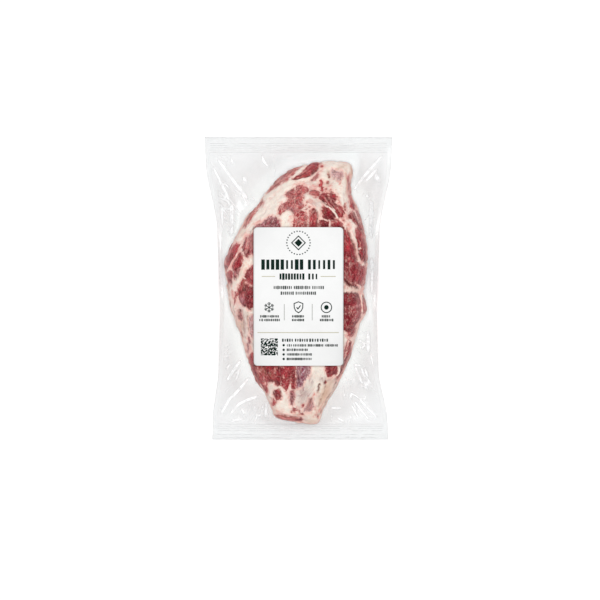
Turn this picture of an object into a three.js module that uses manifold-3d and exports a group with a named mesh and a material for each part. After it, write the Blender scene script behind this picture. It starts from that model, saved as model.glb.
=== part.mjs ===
// A bone-in leg of lamb, vacuum packed in a clear film bag, with a paper label on top.
// Millimetres, +Z up. The pack lies flat: its origin is the centre of its footprint, +Y runs
// from the shank to the hip end, and the whole weight rests on the flat of the leg at z = 0.
import * as THREE from "three";
import { mergeVertices } from "three/addons/utils/BufferGeometryUtils.js";
import Module from "manifold-3d";

const wasm = await Module();
wasm.setup();

// The bag, seen from above.
const BAG_LENGTH = 341;
const HIP_END_WIDTH = 211;
const SHANK_END_WIDTH = 198;
const WAIST_WIDTH = 175; // the film is drawn in where it goes round the leg
const WAIST_Y = -24;
const HIP_SEAL = 18; // depth of the heat-sealed band across each end
const SHANK_SEAL = 15.5;
const SIDE_SEAL = 4.5;
const SEAL_RIBS = 3;
const RIB_RELIEF = 0.6;
const FILM_PAIR = 1.3; // both films together, where they meet

// Heights of the film pair above the surface that the pack lies on.
const CORNER_LIFT = 4.5;
const WAIST_LIFT = 24;
const WAIST_LIFT_REACH = 62;
const END_LIFT = 3.5;
const END_LIFT_REACH = 55;
const CREASES = 14;
const CREASE_HEIGHT = 2.4;
const FILLET_RISE = 7; // the film tents down from the leg to the flat skirt
const FILLET_REACH = 5;

// The leg, seen from above, counterclockwise from the widest point of its right side.
const LEG_OUTLINE = [
  [79, 32], [78, 46], [74.5, 66], [69, 86], [61.5, 101], [58.5, 116], [60, 131], [57.5, 140],
  [43, 142.5], [26, 143.5], [8, 140.5], [-12, 133], [-25, 123.5], [-36, 110], [-46, 96],
  [-56, 85], [-70, 60], [-80, 42], [-84, 29], [-80.5, 1], [-76, -22], [-69, -44], [-62.5, -64],
  [-58, -81], [-52, -97], [-44.5, -110], [-36.5, -123], [-30.5, -137], [-27, -145.5],
  [-12, -150.5], [5, -152.5], [21.5, -152], [27, -147], [29.5, -137], [40, -116.5], [53, -90],
  [60.5, -75], [64.5, -58], [70.5, -39], [77, -28], [76.5, -15], [74, -2], [77, 14],
];
const LEG_CENTRE = new THREE.Vector2(0, -5);
// [y, height of the crest above the table] from the shank's cut to the hip end.
const CREST = [
  [-155, 42], [-125, 51], [-90, 66], [-50, 81], [-5, 90], [40, 90], [85, 81], [118, 67], [145, 50],
];
const PARTING_SIDE = 29; // height of the leg's widest line, where the two films part
const PARTING_HIP = 22;
const PARTING_SHANK = 17;
const DOME_POWER = 4; // a higher power makes the section boxier
const DOME_ROUNDING = 2.4;
const SHANK_DOME_POWER = 6;
const SHANK_DOME_ROUNDING = 3;
const SHANK_CUT = { y: -152, z: 25, slope: 1.8 }; // the sawn face leans back from its foot
const FLAT_SHARE = 0.6; // the share of each radius that lies flat on the table

// Relief of the leg's upper side: [x, y, half length, half width, turn in degrees, height].
const SWELLS = [
  [-2, 93, 36, 24, 10, 5], // round of the topside
  [9, 131, 24, 9, 28, 5], // flap muscle along the upper edge
  [46, 127, 18, 14, 80, 6], // knuckle of the hip bone
  [54, 100, 26, 7, 100, 4], // edge of the bone below the knuckle
  [62, 30, 46, 12, 97, 4], // thick flank on the right
  [64, -26, 22, 12, 80, 4],
  [-72, 22, 24, 9, 62, 4], // silverside on the left
  [-62, -20, 34, 9, 108, 3],
  [-28, -106, 26, 15, 118, 3], // shank muscle
  [8, -116, 28, 9, 90, 3], // shin bone
];
// Seams between muscles: [depth, half width, points along the seam].
const SEAMS = [
  [4, 6, [[28, 118], [-6, 119], [-34, 92], [-56, 66], [-72, 42]]],
  [3.5, 5, [[-44, 40], [-58, 8], [-70, -24]]],
  [3.5, 5, [[54, 78], [62, 52], [74, 24]]],
  [4, 5, [[50, 4], [64, -4], [80, -4]]],
  [3, 5, [[-6, -90], [-8, -112], [-14, -138]]],
  [3, 5, [[24, -88], [18, -112], [16, -146]]],
];

// The label.
const LABEL_WIDTH = 100;
const LABEL_LENGTH = 154.4;
const LABEL_Y = -9.4;
const LABEL_CORNER = 4;
const LABEL_THICKNESS = 0.5;
const LABEL_GAP = 0.6;
const LABEL_STIFFNESS = 3; // the paper bridges bends that are tighter than this
const LABEL_CELLS = [20, 30];
const LABEL_MARGIN = 14; // the leg's relief fades out within this distance of the label

// Facets.
const END_STEPS = 20;
const SIDE_STEPS = 28;
const DOME_RINGS = 12;
const BASE_RINGS = 8;
const SKIRT_RINGS = 6;
const SEAL_RINGS = 2 * SEAL_RIBS;
const OUTLINE_SAMPLES = 720;

const clamp01 = (t) => Math.min(1, Math.max(0, t));
const smooth = (t) => clamp01(t) ** 2 * (3 - 2 * clamp01(t));
const mix = THREE.MathUtils.lerp;
const bell = (t) => Math.exp(-t * t);

// Half the bag's width at y: widest at the two ends, drawn in at the waist.
function halfWidth(y) {
  const end = y > WAIST_Y ? HIP_END_WIDTH : SHANK_END_WIDTH;
  const reach = y > WAIST_Y ? BAG_LENGTH / 2 - WAIST_Y : BAG_LENGTH / 2 + WAIST_Y;
  const t = smooth(Math.abs(y - WAIST_Y) / reach) * 0.45 + (Math.abs(y - WAIST_Y) / reach) * 0.55;
  return mix(WAIST_WIDTH, end, clamp01(t)) / 2;
}

// The leg's outline as a radius for each direction from its centre.
const outline = new THREE.CatmullRomCurve3(
  LEG_OUTLINE.map(([x, y]) => new THREE.Vector3(x, y, 0)),
  true,
);
const outlinePolar = outline
  .getPoints(OUTLINE_SAMPLES)
  .map((p) => {
    const dx = p.x - LEG_CENTRE.x;
    const dy = p.y - LEG_CENTRE.y;
    return { angle: Math.atan2(dy, dx), radius: Math.hypot(dx, dy) };
  })
  .sort((a, b) => a.angle - b.angle);

function legRadius(angle) {
  const after = outlinePolar.findIndex((p) => p.angle > angle);
  const b = outlinePolar[after < 0 ? 0 : after];
  const a = outlinePolar.at(after < 0 ? -1 : after - 1);
  const turn = 2 * Math.PI;
  const span = (b.angle - a.angle + turn) % turn;
  const part = (angle - a.angle + turn) % turn;
  return mix(a.radius, b.radius, span > 0 ? part / span : 0);
}

// A smooth curve through the crest's stations.
function crestHeight(y) {
  const last = CREST.length - 1;
  const next = Math.max(1, CREST.findIndex(([station], i) => station > y || i === last));
  const station = (k) => CREST[THREE.MathUtils.clamp(next + k, 0, last)];
  const [before, from, to, after] = [-2, -1, 0, 1].map(station);
  const span = to[0] - from[0];
  const t = clamp01((y - from[0]) / span);
  const leaving = (span * (to[1] - before[1])) / (to[0] - before[0]);
  const arriving = (span * (after[1] - from[1])) / (after[0] - from[0]);
  return mix(from[1], to[1], smooth(t)) + t * (1 - t) * ((1 - t) * leaving - t * arriving);
}

function partingHeight(angle) {
  const end = Math.sin(angle) > 0 ? PARTING_HIP : PARTING_SHANK;
  return mix(PARTING_SIDE, end, Math.sin(angle) ** 4);
}

function distanceToPath(x, y, path) {
  let nearest = Infinity;
  for (let i = 1; i < path.length; i++) {
    const [ax, ay] = path[i - 1];
    const dx = path[i][0] - ax;
    const dy = path[i][1] - ay;
    const t = clamp01(((x - ax) * dx + (y - ay) * dy) / (dx * dx + dy * dy));
    nearest = Math.min(nearest, Math.hypot(x - ax - t * dx, y - ay - t * dy));
  }
  return nearest;
}

// 0 under the label, 1 from LABEL_MARGIN outside it.
function clearOfLabel(x, y) {
  const outX = Math.max(0, Math.abs(x) - LABEL_WIDTH / 2);
  const outY = Math.max(0, Math.abs(y - LABEL_Y) - LABEL_LENGTH / 2);
  return smooth(Math.hypot(outX, outY) / LABEL_MARGIN);
}

function relief(x, y) {
  let z = 0;
  for (const [cx, cy, long, wide, turn, height] of SWELLS) {
    const a = THREE.MathUtils.degToRad(turn);
    const u = (x - cx) * Math.cos(a) + (y - cy) * Math.sin(a);
    const v = (y - cy) * Math.cos(a) - (x - cx) * Math.sin(a);
    z += height * bell(Math.hypot(u / long, v / wide));
  }
  for (const [depth, width, path] of SEAMS) z -= depth * bell(distanceToPath(x, y, path) / width);
  return z * clearOfLabel(x, y);
}

// Height of the leg's upper side over a point of the plan, without relief.
function domeHeight(x, y) {
  const dx = x - LEG_CENTRE.x;
  const dy = y - LEG_CENTRE.y;
  const angle = Math.atan2(dy, dx);
  const r = Math.min(1, Math.hypot(dx, dy) / legRadius(angle));
  const shank = Math.max(0, -Math.sin(angle)) ** 2;
  const power = mix(DOME_POWER, SHANK_DOME_POWER, shank);
  const rounding = mix(DOME_ROUNDING, SHANK_DOME_ROUNDING, shank);
  const rise = (1 - r ** power) ** (1 / rounding);
  return mix(partingHeight(angle), crestHeight(y), rise);
}

function legTop(x, y) {
  const dx = x - LEG_CENTRE.x;
  const dy = y - LEG_CENTRE.y;
  const r = Math.hypot(dx, dy) / legRadius(Math.atan2(dy, dx));
  const flesh = domeHeight(x, y) + relief(x, y) * Math.sqrt(Math.max(0, 1 - r ** 6));
  return Math.min(flesh, SHANK_CUT.z + SHANK_CUT.slope * (y - SHANK_CUT.y));
}

// Height of the label's underside: it rests on the highest part of the pack around each point.
function labelBed(x, y) {
  const reach = [[0, 0], [1, 0], [-1, 0], [0, 1], [0, -1]];
  const heights = reach.map(([i, j]) => domeHeight(x + i * LABEL_STIFFNESS, y + j * LABEL_STIFFNESS));
  return Math.max(...heights) + LABEL_GAP;
}

function legBase(angle, r) {
  const u = clamp01((r - FLAT_SHARE) / (1 - FLAT_SHARE));
  return partingHeight(angle) * (1 - Math.sqrt(1 - u * u));
}

// Height of the film pair at the bag's border.
function borderLift(x, y) {
  const waist = (WAIST_LIFT - CORNER_LIFT) * bell((y - WAIST_Y) / WAIST_LIFT_REACH);
  return CORNER_LIFT + waist + END_LIFT * bell(x / END_LIFT_REACH);
}

// One entry for each direction round the bag: where the leg ends, where the seal begins and
// where the bag ends.
function directions() {
  const top = BAG_LENGTH / 2;
  const innerTop = top - HIP_SEAL;
  const innerBottom = -top + SHANK_SEAL;
  const corner = (x, y, inset) => new THREE.Vector2(Math.sign(x) * (halfWidth(y) - inset), y);
  const found = [];
  const add = (border, seal, isEnd) => {
    const angle = Math.atan2(seal.y - LEG_CENTRE.y, seal.x - LEG_CENTRE.x);
    const radius = legRadius(angle);
    const edge = new THREE.Vector2(Math.cos(angle), Math.sin(angle))
      .multiplyScalar(radius)
      .add(LEG_CENTRE);
    found.push({ angle, radius, edge, seal, border, isEnd });
  };
  for (const hip of [true, false]) {
    const [outer, inner] = hip ? [top, innerTop] : [-top, innerBottom];
    const side = hip ? 1 : -1;
    for (let i = 0; i < END_STEPS; i++) {
      const t = i / END_STEPS;
      const across = (y, inset) => corner(side, y, inset).lerp(corner(-side, y, inset), t);
      add(across(outer, 0), across(inner, SIDE_SEAL), i > 0);
    }
    for (let i = 0; i < SIDE_STEPS; i++) {
      const t = i / SIDE_STEPS;
      const along = (from, to, inset) => corner(-side, mix(from, to, t), inset);
      add(
        along(outer, -outer, 0),
        along(inner, hip ? innerBottom : innerTop, SIDE_SEAL),
        false,
      );
    }
  }
  return found;
}

// The bag's upper and lower surface along one direction, as rows of points from the middle out.
function surfaceRows(dir) {
  const upper = [];
  const lower = [];
  const parting = partingHeight(dir.angle);
  for (let k = 1; k <= DOME_RINGS; k++) {
    const r = Math.sin((Math.PI / 2) * (k / DOME_RINGS));
    const p = LEG_CENTRE.clone().lerp(dir.edge, r);
    const z = k < DOME_RINGS ? legTop(p.x, p.y) : parting + FILM_PAIR / 2 + FILLET_RISE;
    upper.push([p.x, p.y, Math.max(z, parting + FILM_PAIR / 2 + FILLET_RISE)]);
  }
  for (let k = 1; k <= BASE_RINGS; k++) {
    const r = mix(FLAT_SHARE, 1, Math.sin((Math.PI / 2) * ((k - 1) / (BASE_RINGS - 1))));
    const p = LEG_CENTRE.clone().lerp(dir.edge, r);
    lower.push([p.x, p.y, Math.max(0, legBase(dir.angle, r) - (k === BASE_RINGS ? FILM_PAIR / 2 : 0))]);
  }
  const length = dir.edge.distanceTo(dir.seal);
  const sealLift = borderLift(dir.seal.x, dir.seal.y);
  for (let k = 1; k <= SKIRT_RINGS; k++) {
    const t = (k / SKIRT_RINGS) ** 1.25;
    const p = dir.edge.clone().lerp(dir.seal, t);
    const fold = Math.sin(CREASES * dir.angle + 1.4 * Math.sin(3 * dir.angle));
    const crease = CREASE_HEIGHT * fold * Math.sin(Math.PI * t) * smooth(length / 45);
    const z = Math.max(mix(parting, sealLift, smooth(t)) + crease, FILM_PAIR);
    const fillet = FILLET_RISE * bell((length * t) / FILLET_REACH);
    upper.push([p.x, p.y, z + FILM_PAIR / 2 + fillet]);
    lower.push([p.x, p.y, z - FILM_PAIR / 2]);
  }
  for (let k = 1; k <= SEAL_RINGS; k++) {
    const t = k / SEAL_RINGS;
    const p = dir.seal.clone().lerp(dir.border, t);
    const rib = dir.isEnd && k < SEAL_RINGS ? RIB_RELIEF * (k % 2 ? 1 : -1) : 0;
    const z = mix(sealLift, borderLift(dir.border.x, dir.border.y) - 1, t) + rib;
    upper.push([p.x, p.y, z + FILM_PAIR / 2]);
    lower.push([p.x, p.y, z - FILM_PAIR / 2]);
  }
  return { upper, lower };
}

// A closed mesh from rings of points that share a centre point above and one below.
function bagGeometry() {
  const rows = directions().map(surfaceRows);
  const count = rows.length;
  const positions = [LEG_CENTRE.x, LEG_CENTRE.y, legTop(LEG_CENTRE.x, LEG_CENTRE.y)];
  positions.push(LEG_CENTRE.x, LEG_CENTRE.y, 0);
  const index = [];
  const place = {};
  for (const side of ["upper", "lower"]) {
    place[side] = positions.length / 3;
    for (const row of rows) for (const p of row[side]) positions.push(...p);
  }
  const at = (side, i, k) => place[side] + (i % count) * rows[0][side].length + k;
  for (let i = 0; i < count; i++) {
    index.push(0, at("upper", i, 0), at("upper", i + 1, 0));
    index.push(1, at("lower", i + 1, 0), at("lower", i, 0));
    for (let k = 1; k < rows[0].upper.length; k++) {
      const [a, b] = [at("upper", i, k - 1), at("upper", i, k)];
      const [c, d] = [at("upper", i + 1, k), at("upper", i + 1, k - 1)];
      index.push(a, b, c, a, c, d);
    }
    for (let k = 1; k < rows[0].lower.length; k++) {
      const [a, b] = [at("lower", i, k - 1), at("lower", i, k)];
      const [c, d] = [at("lower", i + 1, k), at("lower", i + 1, k - 1)];
      index.push(a, c, b, a, d, c);
    }
    const [a, b] = [at("upper", i, rows[0].upper.length - 1), at("upper", i + 1, rows[0].upper.length - 1)];
    const [c, d] = [at("lower", i + 1, rows[0].lower.length - 1), at("lower", i, rows[0].lower.length - 1)];
    index.push(a, d, c, a, c, b);
  }
  const geometry = new THREE.BufferGeometry();
  geometry.setAttribute("position", new THREE.Float32BufferAttribute(positions, 3));
  geometry.setIndex(index);
  return geometry;
}

function toManifold(geometry) {
  geometry.deleteAttribute("normal");
  geometry.deleteAttribute("uv");
  const merged = mergeVertices(geometry);
  const triVerts = new Uint32Array(merged.index.array);
  return new wasm.Manifold(
    new wasm.Mesh({ numProp: 3, vertProperties: merged.attributes.position.array, triVerts }),
  );
}

function fromManifold(solid) {
  const { vertProperties, triVerts } = solid.getMesh();
  const geometry = new THREE.BufferGeometry();
  geometry.setAttribute("position", new THREE.BufferAttribute(vertProperties, 3));
  geometry.setIndex(new THREE.BufferAttribute(triVerts, 1));
  return geometry;
}

// A paper slab that follows the top of the pack, trimmed to a rectangle with round corners.
function labelGeometry() {
  const slab = new THREE.BoxGeometry(LABEL_WIDTH + 1, LABEL_LENGTH + 1, LABEL_THICKNESS, ...LABEL_CELLS, 1);
  slab.translate(0, LABEL_Y, 0);
  const position = slab.attributes.position;
  for (let i = 0; i < position.count; i++) {
    const [x, y, layer] = [position.getX(i), position.getY(i), position.getZ(i)];
    position.setZ(i, labelBed(x, y) + LABEL_THICKNESS / 2 + layer);
  }
  const shape = new THREE.Shape();
  const [w, h, r] = [LABEL_WIDTH / 2, LABEL_LENGTH / 2, LABEL_CORNER];
  shape.moveTo(w, -h + r);
  shape.lineTo(w, h - r).absarc(w - r, h - r, r, 0, Math.PI / 2);
  shape.lineTo(-w + r, h).absarc(-w + r, h - r, r, Math.PI / 2, Math.PI);
  shape.lineTo(-w, -h + r).absarc(-w + r, -h + r, r, Math.PI, 1.5 * Math.PI);
  shape.lineTo(w - r, -h).absarc(w - r, -h + r, r, 1.5 * Math.PI, 2 * Math.PI);
  const cutter = new THREE.ExtrudeGeometry(shape, { depth: 150, bevelEnabled: false, curveSegments: 6 });
  cutter.translate(0, LABEL_Y, 0);
  return fromManifold(toManifold(slab).intersect(toManifold(cutter)));
}

function named(name, geometry, color, roughness) {
  const material = new THREE.MeshStandardMaterial({ color, roughness, metalness: 0 });
  const mesh = new THREE.Mesh(geometry, material);
  mesh.name = name;
  return mesh;
}

const pack = new THREE.Group();
pack.add(named("sealed_bag", bagGeometry(), "#a8383f", 0.35));
pack.add(named("label", labelGeometry(), "#f4f4f2", 0.6));

export default pack;
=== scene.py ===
"""A leg of lamb in a clear vacuum bag with a paper label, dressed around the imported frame.

Plan coordinates in this file are millimetres in the frame's own axes, seen from above: +X to the
right, +Y from the shank to the hip end, +Z up. Meshes are scaled to metres when they are made.
"""

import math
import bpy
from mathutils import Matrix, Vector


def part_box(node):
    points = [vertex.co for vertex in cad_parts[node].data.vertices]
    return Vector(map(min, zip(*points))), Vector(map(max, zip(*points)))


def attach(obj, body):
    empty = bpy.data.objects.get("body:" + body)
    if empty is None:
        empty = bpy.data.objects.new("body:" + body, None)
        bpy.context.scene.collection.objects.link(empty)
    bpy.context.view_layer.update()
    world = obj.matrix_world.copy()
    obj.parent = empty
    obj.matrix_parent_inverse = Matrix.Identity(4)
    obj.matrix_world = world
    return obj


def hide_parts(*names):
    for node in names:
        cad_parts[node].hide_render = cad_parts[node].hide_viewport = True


bl_info = {
    "name": "Vacuum Packed Leg of Lamb",
    "version": (1, 0, 0),
    "blender": (4, 5, 0),
    "location": "View3D > Sidebar > Lamb Pack",
    "description": "Builds a leg of lamb in clear film with a generic paper label",
    "category": "Add Mesh",
}

import bpy
import numpy as np
from mathutils import noise

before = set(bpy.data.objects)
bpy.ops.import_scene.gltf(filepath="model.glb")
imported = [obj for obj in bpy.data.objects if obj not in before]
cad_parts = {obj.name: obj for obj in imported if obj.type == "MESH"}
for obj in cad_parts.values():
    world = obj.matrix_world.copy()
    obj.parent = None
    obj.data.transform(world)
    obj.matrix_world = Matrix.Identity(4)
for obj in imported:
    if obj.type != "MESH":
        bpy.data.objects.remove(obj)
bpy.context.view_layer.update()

MM = 0.001
BODY = "root"
BAG_LOW, BAG_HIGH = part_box("sealed_bag")
LABEL_LOW, LABEL_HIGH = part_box("label")

# ---------------------------------------------------------------------------------------------
# The pack's form, from the frame's driving dimensions.

BAG_LENGTH = (BAG_HIGH.y - BAG_LOW.y) / MM
HIP_END_WIDTH = (BAG_HIGH.x - BAG_LOW.x) / MM
SHANK_END_WIDTH = HIP_END_WIDTH - 13
WAIST_WIDTH = HIP_END_WIDTH - 36
WAIST_Y = -24
WAIST_FLATNESS, WAIST_CURVE = 0.45, 0.4
SHANK_SHIFT, SHANK_SHIFT_Y, SHANK_SHIFT_REACH = 2, -90, 70
HIP_SEAL = 18
SHANK_SEAL = 15.5
SIDE_SEAL = 4.5
CORNER_LIFT = 4.5
WAIST_LIFT, WAIST_LIFT_REACH = 24, 62
END_LIFT, END_LIFT_REACH = 3.5, 55
FILLET_RISE, FILLET_REACH = 3, 5

# The leg's plan outline, and its crest as (y, z).
LEG_OUTLINE = [
    (79, 32), (78, 46), (74.5, 66), (69.5, 86), (62.7, 101), (60, 116), (61.3, 131), (59, 140),
    (44, 143), (26, 143.8), (8, 140.5), (-12, 133), (-25, 123.5), (-36, 110), (-46, 96),
    (-56, 85), (-70, 60), (-80, 42), (-84, 29), (-80.5, 1), (-77, -22), (-69, -44), (-62.5, -64),
    (-58, -81), (-52, -97), (-44.5, -110), (-36.5, -123), (-30.5, -137), (-27, -145.5),
    (-12, -150.5), (5, -152.5), (21, -152.5), (25.8, -147), (28.3, -137), (40.5, -116.5), (54, -90),
    (60.5, -75), (64.5, -58), (70.5, -39), (77, -28), (76.5, -15), (74, -2), (77, 14),
]
LEG_CENTRE = np.array([0.0, -5.0])
CREST = [
    (-155, 42), (-125, 51), (-90, 66), (-50, 81), (-5, 90), (40, 90), (85, 81), (118, 67), (145, 50),
]
PARTING_SIDE, PARTING_HIP, PARTING_SHANK = 29, 22, 17
DOME_POWER, DOME_ROUNDING = 4, 2.4
SHANK_DOME_POWER, SHANK_DOME_ROUNDING = 6, 3
SHANK_CUT_Y, SHANK_CUT_Z, SHANK_CUT_SLOPE = -152, 25, 1.8
FLAT_SHARE = 0.6

# Relief of the upper side: (x, y, half length, half width, turn in degrees, height).
SWELLS = [
    (-2, 93, 36, 24, 10, 5), (9, 131, 24, 9, 28, 5), (46, 127, 18, 14, 80, 6),
    (54, 100, 26, 7, 100, 4), (62, 30, 46, 12, 97, 4), (64, -26, 22, 12, 80, 4),
    (-72, 22, 24, 9, 62, 4), (-62, -20, 34, 9, 108, 3), (-28, -106, 26, 15, 118, 3),
    (8, -116, 28, 9, 90, 3),
]
# Grooves between muscles: (depth, half width, path).
SEAMS = [
    (4, 6, [(28, 118), (-6, 119), (-34, 92), (-56, 66), (-72, 42)]),
    (3.5, 5, [(-44, 40), (-58, 8), (-70, -24)]),
    (3.5, 5, [(54, 78), (62, 52), (74, 24)]),
    (4, 5, [(50, 4), (64, -4), (80, -4)]),
    (3, 5, [(-6, -90), (-8, -112), (-14, -138)]),
    (3, 5, [(24, -88), (18, -112), (16, -146)]),
]

LABEL_WIDTH = (LABEL_HIGH.x - LABEL_LOW.x) / MM
LABEL_LENGTH = (LABEL_HIGH.y - LABEL_LOW.y) / MM
LABEL_Y = (LABEL_HIGH.y + LABEL_LOW.y) / 2 / MM
LABEL_CORNER = 4
LABEL_GAP = 0.6
LABEL_STIFFNESS = 3
LABEL_MARGIN = 14
PAPER = 0.35


def smooth(t):
    """Eases t from 0 to 1."""
    t = np.clip(t, 0, 1)
    return t * t * (3 - 2 * t)


def bell(t):
    return np.exp(-np.square(t))


def mix(a, b, t):
    return a + (b - a) * t


def curve_through(points, samples):
    """Points along a closed centripetal Catmull-Rom curve through the given points."""
    given = np.array(points, float)
    before, after, beyond = np.roll(given, 1, 0), np.roll(given, -1, 0), np.roll(given, -2, 0)
    d0, d1, d2 = (np.linalg.norm(b - a, axis=1)[:, None] ** 0.5
                  for a, b in ((before, given), (given, after), (after, beyond)))
    leaving = d1 * ((given - before) / d0 - (after - before) / (d0 + d1) + (after - given) / d1)
    arriving = d1 * ((after - given) / d1 - (beyond - given) / (d1 + d2) + (beyond - after) / d2)
    t = (np.arange(samples) / samples)[:, None, None]
    hermite = (
        (2 * t**3 - 3 * t**2 + 1) * given
        + (t**3 - 2 * t**2 + t) * leaving
        + (3 * t**2 - 2 * t**3) * after
        + (t**3 - t**2) * arriving
    )
    return hermite.transpose(1, 0, 2).reshape(-1, 2)


OUTLINE = curve_through(LEG_OUTLINE, 24)
_around = OUTLINE - LEG_CENTRE
_angles = np.arctan2(_around[:, 1], _around[:, 0])
_order = np.argsort(_angles)
OUTLINE_ANGLES = _angles[_order]
OUTLINE_RADII = np.hypot(*_around.T)[_order]


def leg_radius(angle):
    return np.interp(angle, OUTLINE_ANGLES, OUTLINE_RADII, period=2 * np.pi)


def half_width(y):
    """Half the bag's width, which narrows to the waist."""
    reach = np.where(y > WAIST_Y, BAG_LENGTH / 2 - WAIST_Y, BAG_LENGTH / 2 + WAIST_Y)
    end = np.where(y > WAIST_Y, HIP_END_WIDTH, SHANK_END_WIDTH)
    away = np.abs(y - WAIST_Y) / reach
    curved = smooth((away - WAIST_FLATNESS) / WAIST_CURVE)
    return mix(WAIST_WIDTH, end, np.clip(mix(curved, away, WAIST_FLATNESS), 0, 1)) / 2


def bag_centre(y):
    """Where the middle of the bag lies: the shank end is drawn a little to the right."""
    return SHANK_SHIFT * smooth((SHANK_SHIFT_Y - y) / SHANK_SHIFT_REACH)


def crest_height(y):
    """A smooth curve through the crest's stations."""
    stations, heights = np.array(CREST, float).T
    last = len(CREST) - 1
    upper = np.clip(np.searchsorted(stations, y, side="right"), 1, last)
    lower = upper - 1
    before, after = np.maximum(lower - 1, 0), np.minimum(upper + 1, last)
    span = stations[upper] - stations[lower]
    t = np.clip((y - stations[lower]) / span, 0, 1)
    leaving = span * (heights[upper] - heights[before]) / (stations[upper] - stations[before])
    arriving = span * (heights[after] - heights[lower]) / (stations[after] - stations[lower])
    eased = mix(heights[lower], heights[upper], smooth(t))
    return eased + t * (1 - t) * ((1 - t) * leaving - t * arriving)


def parting_height(angle):
    """Where the two films part, in a direction from the leg's centre."""
    end = np.where(np.sin(angle) > 0, PARTING_HIP, PARTING_SHANK)
    return mix(PARTING_SIDE, end, np.sin(angle) ** 4)


def distance_to_path(x, y, path):
    nearest = np.full(np.shape(x), 1e9)
    for (ax, ay), (bx, by) in zip(path, path[1:]):
        dx, dy = bx - ax, by - ay
        t = np.clip(((x - ax) * dx + (y - ay) * dy) / (dx * dx + dy * dy), 0, 1)
        nearest = np.minimum(nearest, np.hypot(x - ax - t * dx, y - ay - t * dy))
    return nearest


def near(x, y, path, width):
    """1 on a path, easing to 0 over its half width."""
    return bell(distance_to_path(x, y, path) / width)


def turned(x, y, cx, cy, degrees):
    """Coordinates along and across a direction, from a centre."""
    a = math.radians(degrees)
    return (
        (x - cx) * math.cos(a) + (y - cy) * math.sin(a),
        (y - cy) * math.cos(a) - (x - cx) * math.sin(a),
    )


def spot(x, y, cx, cy, long, wide, degrees):
    """1 at a centre, easing to 0 over a turned oval."""
    u, v = turned(x, y, cx, cy, degrees)
    return bell(np.hypot(u / long, v / wide))


def label_distance(x, y):
    """Distance outside the label, 0 under it."""
    out_x = np.maximum(0, np.abs(x) - LABEL_WIDTH / 2)
    out_y = np.maximum(0, np.abs(y - LABEL_Y) - LABEL_LENGTH / 2)
    return np.hypot(out_x, out_y)


def clear_of_label(x, y, margin=LABEL_MARGIN):
    """0 under the label, 1 from margin outside it."""
    return smooth(label_distance(x, y) / margin)


def relief(x, y):
    """Swells of the muscles and grooves between them, none under the label."""
    z = np.zeros(np.shape(x))
    for *place, height in SWELLS:
        z += height * spot(x, y, *place)
    for depth, width, path in SEAMS:
        z -= depth * near(x, y, path, width)
    return z * clear_of_label(x, y)


def polar(x, y):
    """The direction from the leg's centre, and the distance as a share of the leg's radius."""
    dx, dy = x - LEG_CENTRE[0], y - LEG_CENTRE[1]
    angle = np.arctan2(dy, dx)
    return angle, np.hypot(dx, dy) / leg_radius(angle)


def dome_height(x, y):
    """Height of the leg's plain dome, from its parting line up to its crest."""
    angle, r = polar(x, y)
    r = np.minimum(r, 1)
    shank = np.maximum(0, -np.sin(angle)) ** 2
    power = mix(DOME_POWER, SHANK_DOME_POWER, shank)
    rounding = mix(DOME_ROUNDING, SHANK_DOME_ROUNDING, shank)
    rise = (1 - r**power) ** (1 / rounding)
    return mix(parting_height(angle), crest_height(y), rise)


def leg_top(x, y):
    """The dome with its relief, cut off slantwise at the shank."""
    _, r = polar(x, y)
    flesh = dome_height(x, y) + relief(x, y) * np.sqrt(np.maximum(0, 1 - r**6))
    return np.minimum(flesh, SHANK_CUT_Z + SHANK_CUT_SLOPE * (y - SHANK_CUT_Y))


def leg_base(angle, r):
    """Height of the underside: flat in the middle, rounded up to the parting line."""
    u = np.clip((r - FLAT_SHARE) / (1 - FLAT_SHARE), 0, 1)
    return parting_height(angle) * (1 - np.sqrt(1 - u * u))


def label_bed(x, y):
    """What the stiff label lies on: the highest of the points close by."""
    reach = [(0, 0), (1, 0), (-1, 0), (0, 1), (0, -1)]
    heights = [dome_height(x + i * LABEL_STIFFNESS, y + j * LABEL_STIFFNESS) for i, j in reach]
    return np.max(heights, axis=0) + LABEL_GAP


def border_lift(x, y):
    """Height of the bag's border over the floor."""
    waist = (WAIST_LIFT - CORNER_LIFT) * bell((y - WAIST_Y) / WAIST_LIFT_REACH)
    return CORNER_LIFT + waist + END_LIFT * bell(x / END_LIFT_REACH)


# ---------------------------------------------------------------------------------------------
# The anatomy that shows on the upper side.
# A muscle is (tone, marbling, direction of its fibres in degrees, outline).
# A tone is (dark, purple, pale, veil): shares of those looks over the bright red of lean meat. A
# veil is thin membrane.

RED, DEEP, DARK, BRIGHT = (0.3, 0, 0.1, 0), (0.6, 0, 0, 0), (0.95, 0, 0, 0), (0, 0, 0.05, 0)
PURPLE = (0.4, 0.55, 0.05, 0.1)
ROSE, BROWN = (0.1, 0.05, 0.6, 0.08), (0.45, 0.25, 0.4, 0.05)

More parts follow.
